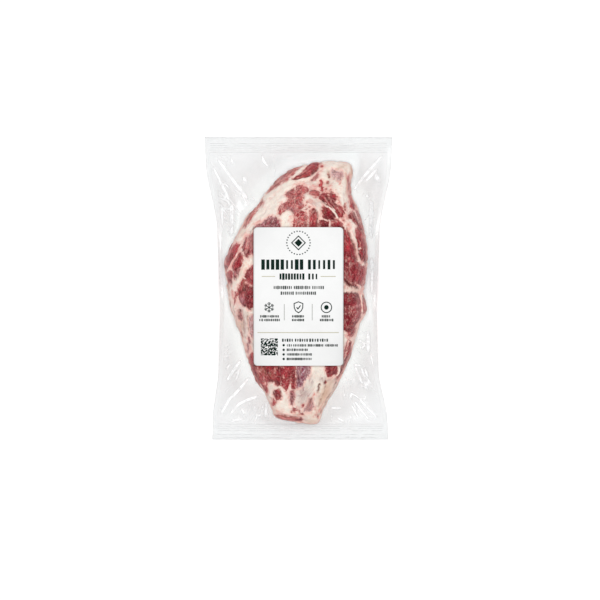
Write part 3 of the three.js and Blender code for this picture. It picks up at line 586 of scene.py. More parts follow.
# Thin lines drawn over the meat: (look, half width, strength, paths).
SHADED, ROSY, TAWNY = 0, 1, 2
STROKES = [
    (SHADED, 0.7, 0.6, [[(-3, 124.5), (6, 128), (13, 133)], [(-69.5, 18), (-67.5, 14)]]),
    (SHADED, 0.9, 0.6, [[(23.6, -107.5), (22.4, -111.5), (21, -116)], [(-14, 105), (-10, 109), (-6, 111.5)],
        [(11.3, 112), (9.5, 108.3)], [(-12, 89), (-8, 88), (-6, 84)], [(-37, 71), (-35, 77)], [(-58, 75),
        (-55.5, 80)], [(-30, 115.5), (-29, 117)], [(-19, 123), (-16, 125.5)], [(-78, 16), (-77, 7)],
        [(-65, -27), (-64.2, -36)], [(-57.7, -62), (-57.5, -68)], [(-33, -89), (-33.5, -101)], [(-5.5, -90),
        (-5.5, -112)], [(-50, -84), (-48, -96)], [(41, -101), (42, -106)]]),
    (SHADED, 0.9, 0.8, [[(-8, 104), (-9, 103)], [(21.3, 70), (21.5, 82), (19, 88)], [(-31, 70), (-30, 77)],
        [(-25, 70), (-25.5, 76)], [(-43, 95.5), (-41.5, 97)], [(57, 83.5), (58.7, 79)], [(73, 37),
        (74, 31)], [(50, -5.8), (60, -5.6), (67, -6)], [(58.5, -13), (60, -17)], [(-74.3, 38.5),
        (-74, 33.5), (-76, 29)], [(-73.5, 16), (-71, 12), (-69.5, 10)], [(-22, -88), (-22.3, -100)]]),
    (SHADED, 1.1, 0.6, [[(30, 79.5), (35, 77.5), (39, 78.5)], [(59.5, 94), (61.5, 90)], [(53.5, -61.5),
        (57.5, -62)], [(-60.5, 54), (-61.5, 42)], [(-55.5, -56), (-54, -61)]]),
    (SHADED, 1.1, 0.8, [[(-3, 102), (-3, 101)], [(-3, 96.5), (-3.2, 95.5)], [(14, 109), (18, 109.5),
        (22.5, 107)], [(24, 102), (28, 96.5), (31, 92.5)], [(29.5, 102.5), (36, 95), (45, 83)],
        [(-25, 117.5), (-22, 118.5)], [(15, 129.5), (19, 131.5), (21.5, 134.5)], [(62, 84), (65, 76),
        (67, 70)], [(65.8, 55), (67.5, 45), (70, 35)], [(75, 31), (76.5, 27)], [(54, -76), (50, -86),
        (46, -98)], [(-79.6, 24), (-78.8, 21.5)], [(-76.5, 8), (-75.5, 5)], [(-54.3, 45), (-56, 36)],
        [(-55.5, -21), (-53, -24)], [(-7.2, -119), (-7, -122)], [(-7, -126), (-7.3, -129)], [(0, -100.5),
        (0.5, -105)], [(22.5, -143), (21.8, -145)], [(-4, -149.8), (3.5, -147.8)]]),
    (SHADED, 1.1, 1, [[(72.8, -9), (74, -13), (75, -18)]]),
    (SHADED, 1.4, 0.6, [[(54, -45), (59, -48)]]),
    (SHADED, 1.4, 0.8, [[(51, 9.5), (56, 5.6), (62, 2), (66, 0)], [(-71.5, 19.5), (-68, 22), (-65.3, 26.5)],
        [(-65.5, -5), (-60.5, -2.5), (-57.5, 2)], [(-57.5, -6), (-56.5, -17)], [(-66, -24.3), (-65, -25.6)],
        [(-31.8, -104), (-30, -104.6)], [(-24.7, -103.8), (-23.3, -104.5)], [(29.9, -104.3),
        (29.2, -107)]]),
    (SHADED, 1.4, 1, [[(-62.5, -19), (-59.5, -20.2)]]),
    (ROSY, 0.7, 0.6, [[(26.5, 103.5), (32, 96), (36.5, 90.5)], [(33.5, 100.5), (39, 93), (43, 88.5)],
        [(13, 106), (19, 104.5)], [(15, 84), (18, 87)], [(2, 127.5), (9, 132), (14, 137)], [(51, 12),
        (56, 8), (60, 5.5)], [(75.5, -20), (76, -26)], [(58.3, -63), (58.5, -72), (55.5, -82)]]),
    (ROSY, 0.7, 0.8, [[(-4.2, 110), (-4.3, 99), (-4, 89)], [(43.5, 90), (47, 84)], [(-28, 71), (-28.5, 76)],
        [(-58.5, 72), (-54.5, 80), (-49.5, 87.5), (-44, 94)], [(-31, 113.5), (-24, 118.5), (-16, 123.5),
        (-9, 127)], [(36, 72), (40, 73.6), (43, 74)], [(60, 85), (62.7, 79)], [(64.8, 86), (68, 77),
        (70.5, 70)], [(57, -27.3), (57.2, -29.2)], [(61, -35), (61, -37)], [(-45.5, -88), (-43, -93)]]),
    (ROSY, 0.9, 0.6, [[(6, 112), (8, 110), (8, 108)], [(54.5, 126), (54, 112), (55, 104)], [(53, 31.5),
        (53.5, 29.5)], [(-82, 38), (-84, 33)], [(-61.5, -60), (-59, -72)]]),
    (ROSY, 0.9, 0.8, [[(57.6, 27), (59, 26.5)], [(53.6, 64.5), (53.8, 62)], [(50, 18.5), (54, 13.8),
        (58.5, 10)], [(55, -57), (54, -68), (51, -78), (49, -90)], [(-60.3, 18), (-57, 21.7), (-52.5, 25)],
        [(-54.6, -63), (-54.5, -72)], [(-26, -90), (-26.5, -94)], [(-17, -97), (-17, -99)], [(-8.5, -97),
        (-9, -110)], [(2, -88), (2.5, -98)], [(44.5, -97), (40.5, -105)], [(-28, -141.4), (-16, -141.5),
        (-4, -142.6)], [(5, -151.3), (20, -151.8)]]),
    (ROSY, 0.9, 1, [[(63, 6.3), (66.5, 3.2), (70, 0)], [(72, 9), (72.6, 0), (71, -6)], [(-64, 52),
        (-66.3, 45), (-69, 38.5), (-72.5, 33), (-75.3, 27.5), (-77.3, 22)], [(-38, -98), (-38, -107)]]),
    (ROSY, 1.4, 1.4, [[(71, 64), (73.3, 57), (75, 50), (76.3, 42), (76.8, 35)], [(76.3, 25), (76.3, 14),
        (74.5, 5)]]),
    (ROSY, 1.1, 0.8, [[(-19.5, 89), (-17, 91.5)], [(22.7, -145), (23.3, -150)]]),
    (ROSY, 1.1, 1, [[(-56.8, 60), (-56.3, 50), (-58, 43), (-58.5, 40)], [(-58.5, 6.5), (-55, 4),
        (-51, 1.6)]]),
    (TAWNY, 0.7, 0.6, [[(-72.3, -18), (-71, -28), (-68.5, -38)], [(-61, -30), (-61.5, -42), (-59.5, -55)],
        [(-56, -27), (-57.5, -40), (-56, -48)], [(-74.5, -24), (-72.5, -34)], [(-46, 70.5), (-41, 72.5)],
        [(11.5, -129), (10, -137)]]),
    (TAWNY, 0.7, 0.8, [[(-61, 71), (-57, 78.5), (-52, 86), (-46.5, 93), (-41, 98)]]),
    (TAWNY, 0.9, 0.6, [[(33, 103.5), (31, 99)], [(-12, 128), (-9, 129.5)], [(52, 93), (52.8, 88)],
        [(33.3, 131), (34, 124)], [(41, 132), (40, 129)], [(48.5, 128), (46.5, 122)], [(56.5, -42.5),
        (60, -41.5)], [(58.5, -77), (54, -88), (49, -97)], [(-52.5, 52), (-52, 44)], [(-69.5, -36),
        (-67, -50), (-64, -60)], [(30, -110), (26, -122), (22, -132)], [(-28, -144.3), (-14, -144.2),
        (-2, -145.6)], [(6, -147), (9, -147.2)]]),
    (TAWNY, 0.9, 0.8, [[(-36, 110), (-31, 117.5), (-25, 122.3), (-18, 127.5), (-10, 132.7), (-3, 135.6)],
        [(57.3, 112), (57.7, 108), (59.2, 103)], [(32, 120), (32.3, 118)], [(67, 72), (68.5, 65)],
        [(64, -10), (65.5, -17)], [(47, -97), (43, -104), (38.5, -112)], [(15.3, -123.5), (14, -128),
        (12.3, -131.5)]]),
    (TAWNY, 0.7, 0.7, [[(36.5, -116.5), (33.5, -121), (30, -127), (27, -134), (24, -140), (22.3, -144)]]),
    (TAWNY, 1.1, 1, [[(23.6, -107.5), (22.4, -111.5), (21, -116)]]),
    (TAWNY, 1.1, 0.6, [[(29, 90), (28.5, 84)], [(52, 6), (57, 3), (63, -0.3)], [(-66.5, 39), (-65.8, 36.5)],
        [(-79.8, 17), (-79.8, 8)]]),
    (TAWNY, 1.1, 0.8, [[(56, 64), (59.5, 55), (62.5, 46), (64.5, 39), (65.5, 31)], [(-71.5, 32),
        (-73.8, 27)], [(-76.3, 3.5), (-78, -2)], [(-61.2, 11), (-60.2, 5), (-60.3, -1)], [(-79.3, 4),
        (-78.6, -6), (-77, -16), (-75.7, -26)], [(-67.3, -26), (-66.6, -34)], [(-65, -49), (-63.7, -54)],
        [(-48, -87), (-46.7, -91)], [(-44.7, -95), (-43.8, -99)], [(-37, -89), (-36, -96)], [(-31, -95),
        (-30, -101)], [(-40.5, -87), (-40, -93)]]),
]

# Cut faces on the underside, seen as plan outlines: the rest of it is the fat cap.
UNDER_MUSCLES = [
    (RED, 0.4, 20, [(-30, 150), (-18, 118), (10, 108), (38, 112), (60, 126), (60, 150)]),
    (DEEP, 0.4, 100, [(90, 40), (66, 44), (58, 20), (62, -6), (90, -20)]),
    (ROSE, 0.3, 80, [(-90, 40), (-70, 36), (-64, 14), (-72, -8), (-90, -10)]),
    (DARK, 0.3, 90, [(-24, -128), (-6, -118), (12, -124), (16, -160), (-30, -160)]),
]


def signed_distance(x, y, outline):
    """Distance to a closed outline, positive inside it."""
    inside = np.zeros(np.shape(x), bool)
    for (ax, ay), (bx, by) in zip(outline, outline[1:] + outline[:1]):
        crosses = (ay > y) != (by > y)
        with np.errstate(divide="ignore", invalid="ignore"):
            inside ^= crosses & (x < (bx - ax) * (y - ay) / (by - ay) + ax)
    away = distance_to_path(x, y, outline + outline[:1])
    return np.where(inside, away, -away)


def grain(points, size, octaves=3, seed=0.0):
    """Fractal noise of about -1 to 1 whose features are size millimetres across."""
    scaled = points / size + seed
    return np.array([noise.fractal(p, 1.0, 2.0, octaves) for p in scaled.tolist()])


def level_grain(x, y, size, octaves, seed, stretch=1.0):
    """Noise over plan coordinates, kept in their shape."""
    flat = np.column_stack([x.ravel(), y.ravel() * stretch, np.zeros(x.size)])
    return grain(flat, size, octaves, seed).reshape(x.shape)


# How far neighbouring muscles blend, borders wander and fray, and drawn lines spread, in millimetres.
BLEND_REACH = 1.2
BORDER_ROAMING, SIDE_ROAMING, BORDER_FRAY = 0.8, 9, 0.6
STROKE_SPREAD = 1.15
LABEL_SHADE_REACH = 1.1
SOLE_PINK = 0.35
SINEW_EDGE = 1.6


def paint_muscles(x, y, muscles):
    """The signed distance to lean meat with each point's tone, marbling and fibre coordinates."""
    distances = np.array([signed_distance(x, y, outline) for *_, outline in muscles])
    nearness = np.exp(np.clip(distances - distances.max(0), -30, 0) / BLEND_REACH)
    share = nearness / nearness.sum(0)
    tone = np.einsum("mn,mc->nc", share, np.array([m[0] for m in muscles]))
    marbling = share.T @ np.array([m[1] for m in muscles])
    along, across = np.zeros_like(x), np.zeros_like(x)
    for part, (_, _, degrees, _) in zip(share, muscles):
        u, v = turned(x, y, 0, 0, degrees)
        along += part * u
        across += part * v
    return distances.max(0), tone, marbling, along, across


def paint(points, under, side):
    """Every painted field of the meat at plan points. under is 1 on the underside, 0 on top, and
    side is 1 where the flank stands upright: borders wander there and don't run straight down."""
    roaming = BORDER_ROAMING + SIDE_ROAMING * side
    x, y = (
        points[:, axis] + (grain(points, 12, 2, slow) * roaming + grain(points, 4, 2, quick) * BORDER_FRAY)
        for axis, slow, quick in ((0, 3.1, 7.7), (1, 11.9, 19.3)))
    lean, tone, marbling, along, across = paint_muscles(x, y, MUSCLES)
    frayed = 0.9 * grain(points, 2.6, 2, 31.0)
    mark_x, mark_y = mix(points[:, 0], x, 0.5), mix(points[:, 1], y, 0.5)
    for cx, cy, radius, mark_tone in MARKS:
        inside = radius + frayed - np.hypot(mark_x - cx, mark_y - cy)
        share = smooth(inside + 1)
        lean = np.maximum(lean, np.where(share > 0, inside, -9))
        tone = mix(tone, np.array(mark_tone), share[:, None])
        marbling = marbling * (1 - share)
    for *place, change in SHADES:
        tone = tone + spot(x, y, *place)[:, None] * np.array(change)
    below, below_tone, below_marbling, *_ = paint_muscles(x, y, UNDER_MUSCLES)
    lean = mix(lean, below, under)
    tone = mix(tone, below_tone, under[:, None])
    marbling = mix(marbling, below_marbling, under)
    on_top = 1 - under
    sinew, cleft = np.zeros_like(x), np.zeros_like(x)
    for width, path in SINEWS:
        sinew = np.maximum(sinew, smooth(SINEW_EDGE - distance_to_path(x, y, path) / width) * on_top)
    for width, depth, path in CLEFTS:
        cleft = np.maximum(cleft, depth * near(x, y, path, width) * on_top)
    strokes, tints = np.zeros((len(x), 3)), np.zeros((len(x), 3))
    broken = np.clip(0.65 + 1.1 * grain(points, 3.0, 2, 41.0), 0.1, 1.1) * on_top
    for look, width, strength, paths in STROKES:
        for path in paths:
            drawn = strength * broken * near(x, y, path, width * STROKE_SPREAD)
            strokes[:, look] = np.maximum(strokes[:, look], drawn)
    for colour_of_fat, spots in enumerate(FAT_TINTS):
        for *place, strength in spots:
            tinted = strength * spot(x, y, *place) * on_top
            tints[:, colour_of_fat] = np.maximum(tints[:, colour_of_fat], tinted)
    tints[:, PINK] = np.maximum(tints[:, PINK], under * SOLE_PINK)
    return {
        "lean": lean - 3 * sinew,
        "tone": np.clip(tone, 0, 1),
        "marbling": np.clip(marbling, 0, 1),
        "cleft": cleft,
        "sinew": sinew,
        "strokes": strokes,
        "label_shade": bell(label_distance(*points[:, :2].T) / LABEL_SHADE_REACH) * on_top,
        "tints": tints,
        "fibre": np.column_stack([along, across, points[:, 2]]),
    }


# ---------------------------------------------------------------------------------------------
# Meshes.


def mesh_object(name, points, faces, smooth_shade=True):
    """A new object at the origin from millimetre points."""
    mesh = bpy.data.meshes.new(name)
    mesh.from_pydata((np.asarray(points, float) * MM).tolist(), [], faces)
    mesh.validate()
    mesh.update()
    if smooth_shade:
        mesh.polygons.foreach_set("use_smooth", [True] * len(mesh.polygons))
    return shown(name, mesh)


def shown(name, data):
    """A new object in the scene."""
    made = bpy.data.objects.new(name, data)
    bpy.context.scene.collection.objects.link(made)
    return made


def closed_shell(name, crown, rings, sole):
    """Rings of quads, closed by a fan at the crown and one at the sole."""
    rows, count = rings.shape[:2]
    last = rows * count + 1
    faces = []
    for i in range(count):
        a, b = 1 + i, 1 + (i + 1) % count
        faces.append((0, a, b))
        for _ in range(rows - 1):
            faces.append((a, a + count, b + count, b))
            a, b = a + count, b + count
        faces.append((a, last, b))
    return mesh_object(name, np.vstack([crown, rings.reshape(-1, 3), sole]), faces)


def store(mesh, name, values):
    """Writes a painted field as an attribute, with the poles taking their neighbour's value."""
    padded = np.concatenate([values[:1], values, values[-1:]]).astype(np.float32)
    kind, key = ("FLOAT", "value") if padded.ndim == 1 else ("FLOAT_VECTOR", "vector")
    mesh.attributes.new(name, kind, "POINT").data.foreach_set(key, padded.ravel())


def grid_normals(rings, pole_low, pole_high):
    """Unit normals of a closed stack of rings, shaped rows x count x 3."""
    around = np.roll(rings, -1, 1) - np.roll(rings, 1, 1)
    ends = (np.broadcast_to(pole, rings[:1].shape) for pole in (pole_low, pole_high))
    padded = np.concatenate([next(ends), rings, next(ends)])
    normal = np.cross(padded[2:] - padded[:-2], around)
    return normal / np.maximum(np.linalg.norm(normal, axis=2, keepdims=True), 1e-9)


LEG_DIRECTIONS = 640
COVERED_RINGS, OPEN_RINGS, BASE_RINGS = 10, 112, 30
COVERED_SHARE = 0.36
FILM_GAP = 0.5
LEG_INSET = 1.2
PARTING_EASE = 6


def leg_directions(count):
    """Angles whose points lie evenly along the leg's outline."""
    closed = np.vstack([OUTLINE, OUTLINE[:1]])
    length = np.concatenate([[0], np.cumsum(np.hypot(*np.diff(closed, axis=0).T))])
    at = np.linspace(0, length[-1], count, endpoint=False)
    x, y = (np.interp(at, length, closed[:, axis]) for axis in (0, 1))
    return np.sort(np.arctan2(y - LEG_CENTRE[1], x - LEG_CENTRE[0]))


def upright(normal_z):
    """1 where the surface stands upright or overhangs, 0 where it faces up."""
    return smooth((0.3 - normal_z) / 0.5)


def dome_rings(*shares):
    """Shares of the radius for rings that crowd together towards the edge."""
    return np.sin(np.pi / 2 * np.concatenate(shares))


def surface_points(angle, r, lower):
    """Points of the plain leg for each share of its radius and each direction."""
    r = r[:, None]
    radius = leg_radius(angle) * r
    x = LEG_CENTRE[0] + radius * np.cos(angle)
    y = LEG_CENTRE[1] + radius * np.sin(angle)
    top = np.maximum(leg_top(x, y), parting_height(angle))
    return np.stack([x, y, np.where(np.reshape(lower, (-1, 1)), leg_base(angle, r), top)], -1)


def leg_crown():
    return np.array([*LEG_CENTRE, float(leg_top(*LEG_CENTRE))])


def fine_relief(points, fields, under):
    """Height of muscle bulges, fat ridges, clefts and fibres over the plain leg, in millimetres."""
    lean, sinew, cleft = fields["lean"], fields["sinew"], fields["cleft"]
    bulge = 1.3 * smooth(lean / 9) - 0.7 * bell(lean / 1.6)
    fat = 0.9 * smooth(-lean / 4) * (0.6 + 0.8 * grain(points, 7, 3, 5.0))
    strands = 0.25 * grain(fields["fibre"] * np.array([0.3, 1, 1]), 2.2, 2, 1.0) * smooth(lean / 2)
    lumps = 0.7 * grain(points, 16, 3, 9.0) + 0.28 * grain(points, 4.5, 3, 13.0)
    height = bulge + fat + strands + lumps + 0.35 * sinew - 1.5 * cleft
    covered = clear_of_label(points[:, 0], points[:, 1], 6)
    return np.where(under > 0.5, height * 0.6, height * covered)


def build_leg():
    """The leg of lamb: geometry and painted fields."""
    angle = leg_directions(LEG_DIRECTIONS)
    top_r = dome_rings(np.linspace(0, COVERED_SHARE, COVERED_RINGS + 1)[1:],
                       np.linspace(COVERED_SHARE, 1, OPEN_RINGS + 1)[1:])
    r = np.concatenate([top_r, dome_rings(np.linspace(1, 0, BASE_RINGS + 2)[1:-1])])
    rings = surface_points(angle, r, np.arange(len(r)) >= len(top_r))
    crown, sole = leg_crown(), np.array([*LEG_CENTRE, 0.0])
    normals = grid_normals(rings, crown, sole).reshape(-1, 3)
    parting = np.broadcast_to(parting_height(angle), rings.shape[:2]).ravel()
    points = rings.reshape(-1, 3) - normals * LEG_INSET
    under = smooth((0.75 * parting - points[:, 2]) / PARTING_EASE)
    steep = normals[:, 2]
    side = upright(steep)
    fields = paint(points, under, side)
    # Painted light: the steep upper sides are brightened in the meat's colour, more the steeper they stand.
    fields["flank"] = smooth((0.92 - steep) / 0.5) * (1 - under)
    # Painted sheen: pale pink laid in patches on the steepest upper sides, where the tight film shines at
    # the leg's edge.
    patchy = np.clip(0.6 + 1.1 * grain(points, 6, 2, 51.0), 0.05, 0.9) * mix(1, 0.4, side)
    painted_edge_sheen = smooth((0.38 - steep) / 0.3) * patchy * (1 - under)
    fields["strokes"][:, ROSY] = np.maximum(fields["strokes"][:, ROSY], painted_edge_sheen)
    moved = points + normals * fine_relief(points, fields, under)[:, None]
    moved[:, 2] = np.maximum(moved[:, 2], FILM_GAP)
    crown[2] -= LEG_INSET
    sole[2] = FILM_GAP
    leg = closed_shell("leg_of_lamb", crown, moved.reshape(rings.shape), sole)
    fields["veil"], fields["tone"] = fields["tone"][:, 3], fields["tone"][:, :3]
    for name, values in fields.items():
        if name != "sinew":
            store(leg.data, name, values)
    return leg


# ---------------------------------------------------------------------------------------------
# The film.

FILM_DIRECTIONS, EDGE_DIRECTIONS = 860, 400
FILM_TOP_RINGS, FILM_BASE_RINGS = 20, 6
UPPER_SKIRT_RINGS, LOWER_SKIRT_RINGS = 52, 18
UPPER_SEAL_RINGS, LOWER_SEAL_RINGS = 8, 3
FILM_PAIR = 0.5
FILM_SINK = 0.6
FILM_RELIEF_SHARE = 0.85
SEAL_PAIR = 0.2
CLING_REACH = 2
# The mist on the seals, and how much less haze and clearer, less red film there is near the leg and how far
# that reaches: painted light that lifts the leg's shadow.
SEAL_MIST, LEG_SIDE_LIGHTENING, LEG_SIDE_LIGHTENING_REACH = 0.75, 0.85, 22

# Folds of the loose film: (height, half width, path), and the share of that height they stand up.
FOLD_RISE = 0.4
FOLDS = [
    (2.4, 1.1, [(-92, 147), (-88.7, 142.4), (-76, 125), (-63.8, 108.7), (-56.8, 99.9)]),
    (1.3, 1.1, [(-97, 138), (-88.7, 120.7), (-78.2, 99.9)]),
    (1.1, 1.5, [(-75, 94), (-75.5, 60)]),
    (1.4, 1.1, [(-42, 152), (-39, 143), (-35, 138)]),
    (1.2, 1.0, [(-77, 152), (-74, 140)]),
    (1.3, 0.9, [(-92, 151), (-79, 147)]),
    (1.0, 1.2, [(-86, 92), (-87, 60)]),
    (2.2, 1.1, [(96, 152), (77.5, 130.4), (71, 122.4), (60.5, 108.5)]),
    (1.5, 1.0, [(88, 134), (75.9, 120.7)]),
    (1.2, 1.8, [(88, 127), (90.5, 121)]),
    (1.1, 1.6, [(82, 97), (82, 58)]),
    (1.0, 1.8, [(83, 32), (84, -8)]),
    (2.0, 1.1, [(-65, -81), (-71.8, -90.3), (-80.7, -103.9)]),
    (2.4, 1.1, [(-54, -99), (-63, -109.5), (-71, -118.4), (-79, -126.3), (-87.1, -141.6)]),
    (1.2, 0.9, [(-90.5, -125), (-92, -140)]),
    (1.5, 1.1, [(-46, -121.5), (-57.4, -125.6), (-67, -130.4), (-76.7, -141.6)]),
    (1.3, 1.0, [(-76, -149), (-62, -148)]),
    (1.0, 1.4, [(-85, -60), (-85, -86)]),
    (1.4, 0.9, [(71, -90), (74.6, -100)]),
    (1.4, 0.9, [(74.6, -90), (78, -100)]),
    (1.4, 1.0, [(64, -88), (71.4, -106.5)]),
    (1.5, 0.8, [(69, -125), (76, -133), (88, -145)]),
    (1.3, 0.8, [(64, -128), (71, -138), (80, -149)]),
    (1.1, 0.7, [(60, -132), (64, -140), (68, -147)]),
    (1.2, 1.0, [(44, -146), (52, -151)]),
    (1.2, 1.0, [(37, -134.6), (48, -135)]),
    (1.2, 1.0, [(61.5, -86), (70, -87)]),
    (1.1, 1.1, [(81.5, -75), (85, -90)]),
    (1.0, 1.5, [(78.5, -50), (78.5, -70)]),
]


def film_directions(count):
    """The seal's inner points and the border points, in step round the bag."""
    top = BAG_LENGTH / 2
    inner_top, inner_bottom = top - HIP_SEAL, -top + SHANK_SEAL
    end_share = HIP_END_WIDTH / (HIP_END_WIDTH + BAG_LENGTH)
    ends = round(count / 2 * end_share)
    sides = count // 2 - ends
    seal, border = [], []
    halves = (top, inner_top, inner_bottom, 1), (-top, inner_bottom, inner_top, -1)
    for outer, inner, other, side in halves:
        for start, stop, inset, found in ((outer, -outer, 0, border), (inner, other, SIDE_SEAL, seal)):
            half = half_width(start) - inset
            across = bag_centre(start) + side * half * (1 - 2 * (np.arange(ends) / ends))
            y = mix(start, stop, np.arange(sides) / sides)
            found.append(np.column_stack([across, np.full(ends, start)]))
            found.append(np.column_stack([bag_centre(y) - side * (half_width(y) - inset), y]))
    return np.vstack(seal), np.vstack(border)


def fold_height(x, y):
    """Sharp folds of the loose film, faded at both ends, and how strained the film is there."""
    z, strain = np.zeros_like(x), np.zeros_like(x)
    for height, width, path in FOLDS:
        ends = np.minimum(*(np.hypot(x - ax, y - ay) for ax, ay in (path[0], path[-1])))
        ridge = near(x, y, path, width) * smooth(ends / 8 + 0.25)
        z += FOLD_RISE * height * ridge
        strain = np.maximum(strain, ridge ** 0.6)
    return z, strain


class Skirt:
    """The loose film between the leg's edge and the seal, as rings of share t of the way out."""

    def __init__(self, rings, angle, edge, seal):
        self.t = ((np.arange(rings) + 1) / rings)[:, None] ** 1.1
        plan = edge + (seal - edge) * self.t[..., None]
        self.x, self.y = plan[..., 0], plan[..., 1]
        self.length = np.hypot(*(seal - edge).T)
        self.inside = np.sin(np.pi * np.clip(self.t, 0, 1)) ** 0.6
        self.angle = angle

    def sag(self, parting, seal_lift):
        """Height of the film pair: a soft slope with slow waves."""
        waves = level_grain(self.x, self.y, 30, 2, 2.0) * 1.6 * self.inside
        return np.maximum(mix(parting, seal_lift, smooth(self.t)) + waves, 0.3)

    def wrinkles(self):
        """Folds, pleats that run outward and crinkles of the upper film, all raised."""
        folds, strain = fold_height(self.x, self.y)
        shape = self.x.shape
        outward = np.column_stack([
            np.broadcast_to(np.cos(self.angle) * 46, shape).ravel(),
            np.broadcast_to(np.sin(self.angle) * 46, shape).ravel(),
            (self.t * self.length).ravel() * 0.1])
        pleats = 1 - np.abs(grain(outward, 3.4, 2, 4.0).reshape(shape)) * 2.4
        patches = np.clip(0.5 + level_grain(self.x, self.y, 16, 2, 6.5) * 1.6, 0, 1)
        pleats = np.clip(pleats, 0, 1) ** 3 * patches
        crinkle = np.abs(level_grain(self.x, self.y, 6, 3, 8.0)) * 0.7
        room = smooth(self.length / 34)
        rise = (folds + 0.95 * pleats * room) * self.inside
        rise += crinkle * smooth(self.t * 8) * smooth((1 - self.t) * 6)
        return rise, np.maximum(strain, 0.62 * pleats * room) * self.inside


def build_film():
    """The clear bag: an upper and a lower film that meet round the leg."""
    seal, border = film_directions(FILM_DIRECTIONS)
    angle = np.arctan2(*(seal - LEG_CENTRE).T[::-1])
    edge = LEG_CENTRE + (leg_radius(angle) * np.array([np.cos(angle), np.sin(angle)])).T
    parting = parting_height(angle)
    seal_lift = border_lift(*seal.T)

    top_r = dome_rings(np.linspace(0, 1, FILM_TOP_RINGS + 1)[1:])
    body = surface_points(angle, top_r, False)
    body[..., 2] = np.maximum(body[..., 2], parting + FILM_PAIR / 2 + FILLET_RISE)
    crown = leg_crown()
    flat = body.reshape(-1, 3)
    above = np.zeros(len(flat))
    outward = grid_normals(body, crown, [*LEG_CENTRE, -1.0])
    fields = paint(flat, above, upright(outward[..., 2].ravel()))
    lift = fine_relief(flat, fields, above).reshape(body.shape[:2]) * FILM_RELIEF_SHARE - FILM_SINK
    lift *= smooth((1 - top_r) / 0.03)[:, None]
    body += outward * lift[..., None]
    crown[2] -= FILM_SINK

    upper = Skirt(UPPER_SKIRT_RINGS, angle, edge, seal)
    rise, strain = upper.wrinkles()
    fillet = FILLET_RISE * bell(upper.length * upper.t / FILLET_REACH)
    height = upper.sag(parting, seal_lift) + fillet + rise + FILM_PAIR * (0.4 + upper.inside)
    lower = Skirt(LOWER_SKIRT_RINGS, angle, edge, seal)
    upper_skirt = np.stack([upper.x, upper.y, height], -1)
    lower_skirt = np.stack([lower.x, lower.y, lower.sag(parting, seal_lift)], -1)

    bands = []
    for rings, side in ((UPPER_SEAL_RINGS, SEAL_PAIR / 2), (LOWER_SEAL_RINGS, -SEAL_PAIR / 2)):
        u = ((np.arange(rings) + 1) / rings)[:, None]
        plan = seal + (border - seal) * u[..., None]
        height = seal_band_height(plan[..., 0], plan[..., 1], u, seal_lift, border)
        bands.append(np.concatenate([plan, (height + side)[..., None]], -1))

    base = surface_points(angle, dome_rings(np.linspace(1, 0, FILM_BASE_RINGS + 1)[:-1]), True)
    base[..., 2] = np.maximum(base[..., 2] - FILM_PAIR / 2, 0)
    rings = np.concatenate([body, upper_skirt, bands[0], bands[1][::-1], lower_skirt[::-1], base])
    film = closed_shell("vacuum_film", crown, rings, [*LEG_CENTRE, 0.0])

    stress_and_highlight, cling, mist_and_painted_light = np.zeros(rings.shape[:2]), np.ones(rings.shape[:2]), np.zeros(rings.shape[:2])
    first, last = len(body), len(rings) - len(base)
    # Fold and pleat whitening: stress whitening of the film and a painted highlight.
    stress_and_highlight[first:first + UPPER_SKIRT_RINGS] = strain
    cling[first:last] = 0
    mist_and_painted_light[first:last] = SEAL_MIST
    for skirt, rows in ((upper, slice(first, first + UPPER_SKIRT_RINGS)),
                        (lower, slice(last - 1, last - 1 - LOWER_SKIRT_RINGS, -1))):
        away = skirt.t * skirt.length
        cling[rows] = 1 - smooth(away / CLING_REACH)
        # Less mist near the leg gives less haze and a clearer, less red film, as painted light that lifts
        # the leg's shadow on the floor beneath; less so near the shank.
        near_shank = smooth((-skirt.y - 95) / 25)
        mist_and_painted_light[rows] = 1 - (LEG_SIDE_LIGHTENING - 0.5 * near_shank) * bell(away / LEG_SIDE_LIGHTENING_REACH)
    for name, values in (("stress_and_highlight", stress_and_highlight), ("cling", cling), ("mist_and_painted_light", mist_and_painted_light)):
        store(film.data, name, values.ravel())
    return film


def seal_band_height(x, y, u, seal_lift, border):
    """Height of the flat seal between its inner edge and the border of the bag."""
    ripple = level_grain(x, y, 9, 2, 1.5, 0.3) * 0.38
    return mix(seal_lift, border_lift(*border.T) - 1, u) + ripple * u


# Pressed lines of the seals: (name, y of the first line, step in y, how many).
SEAL_LINES = [("hip_seal_lines", 163.3, -2.45, 5), ("shank_seal_lines", -153.2, -2.5, 4),
              ("shank_edge_lines", -164.9, -3.3, 2)]
LINE_RADIUS, EDGE_RADIUS = 0.25, 0.3
LINE_LIFT, EDGE_LIFT = -0.1, -0.5
LINE_FLATNESS = 0.6


def bag_lines(name, path, count, step, radius, lift, tree, material):
    """Lays flat tubes on the rim of the bag."""
    values = {"Count": count, "Step": (0, step * MM, 0), "Radius": radius * MM, "Film": material}
    made = grown(name, path, tree, values)
    for vertex in made.data.vertices:
        rim = float(border_lift(vertex.co.x / MM, vertex.co.y / MM))
        vertex.co.z = vertex.co.z * LINE_FLATNESS + (rim + lift) * MM
    made.data.update()
    return made


def build_seal_lines(tree, material):
    """The pressed lines across both ends and the cut edge of the bag."""
    made = []
    for name, y, step, count in SEAL_LINES:
        half = float(half_width(y)) - SIDE_SEAL - 1
        path = [(bag_centre(y) + x, y + 0.25 * float(noise.noise((x / 22, y, 0.5))))
                for x in np.linspace(-half, half, 60)]
        made.append(bag_lines(name, path, count, step, LINE_RADIUS, LINE_LIFT, tree, material))
    border = film_directions(EDGE_DIRECTIONS)[1].tolist()
    made.append(bag_lines("film_edge", border + border[:1], 1, 0, EDGE_RADIUS, EDGE_LIFT, tree, material))
    return made


# ---------------------------------------------------------------------------------------------
# Node trees.


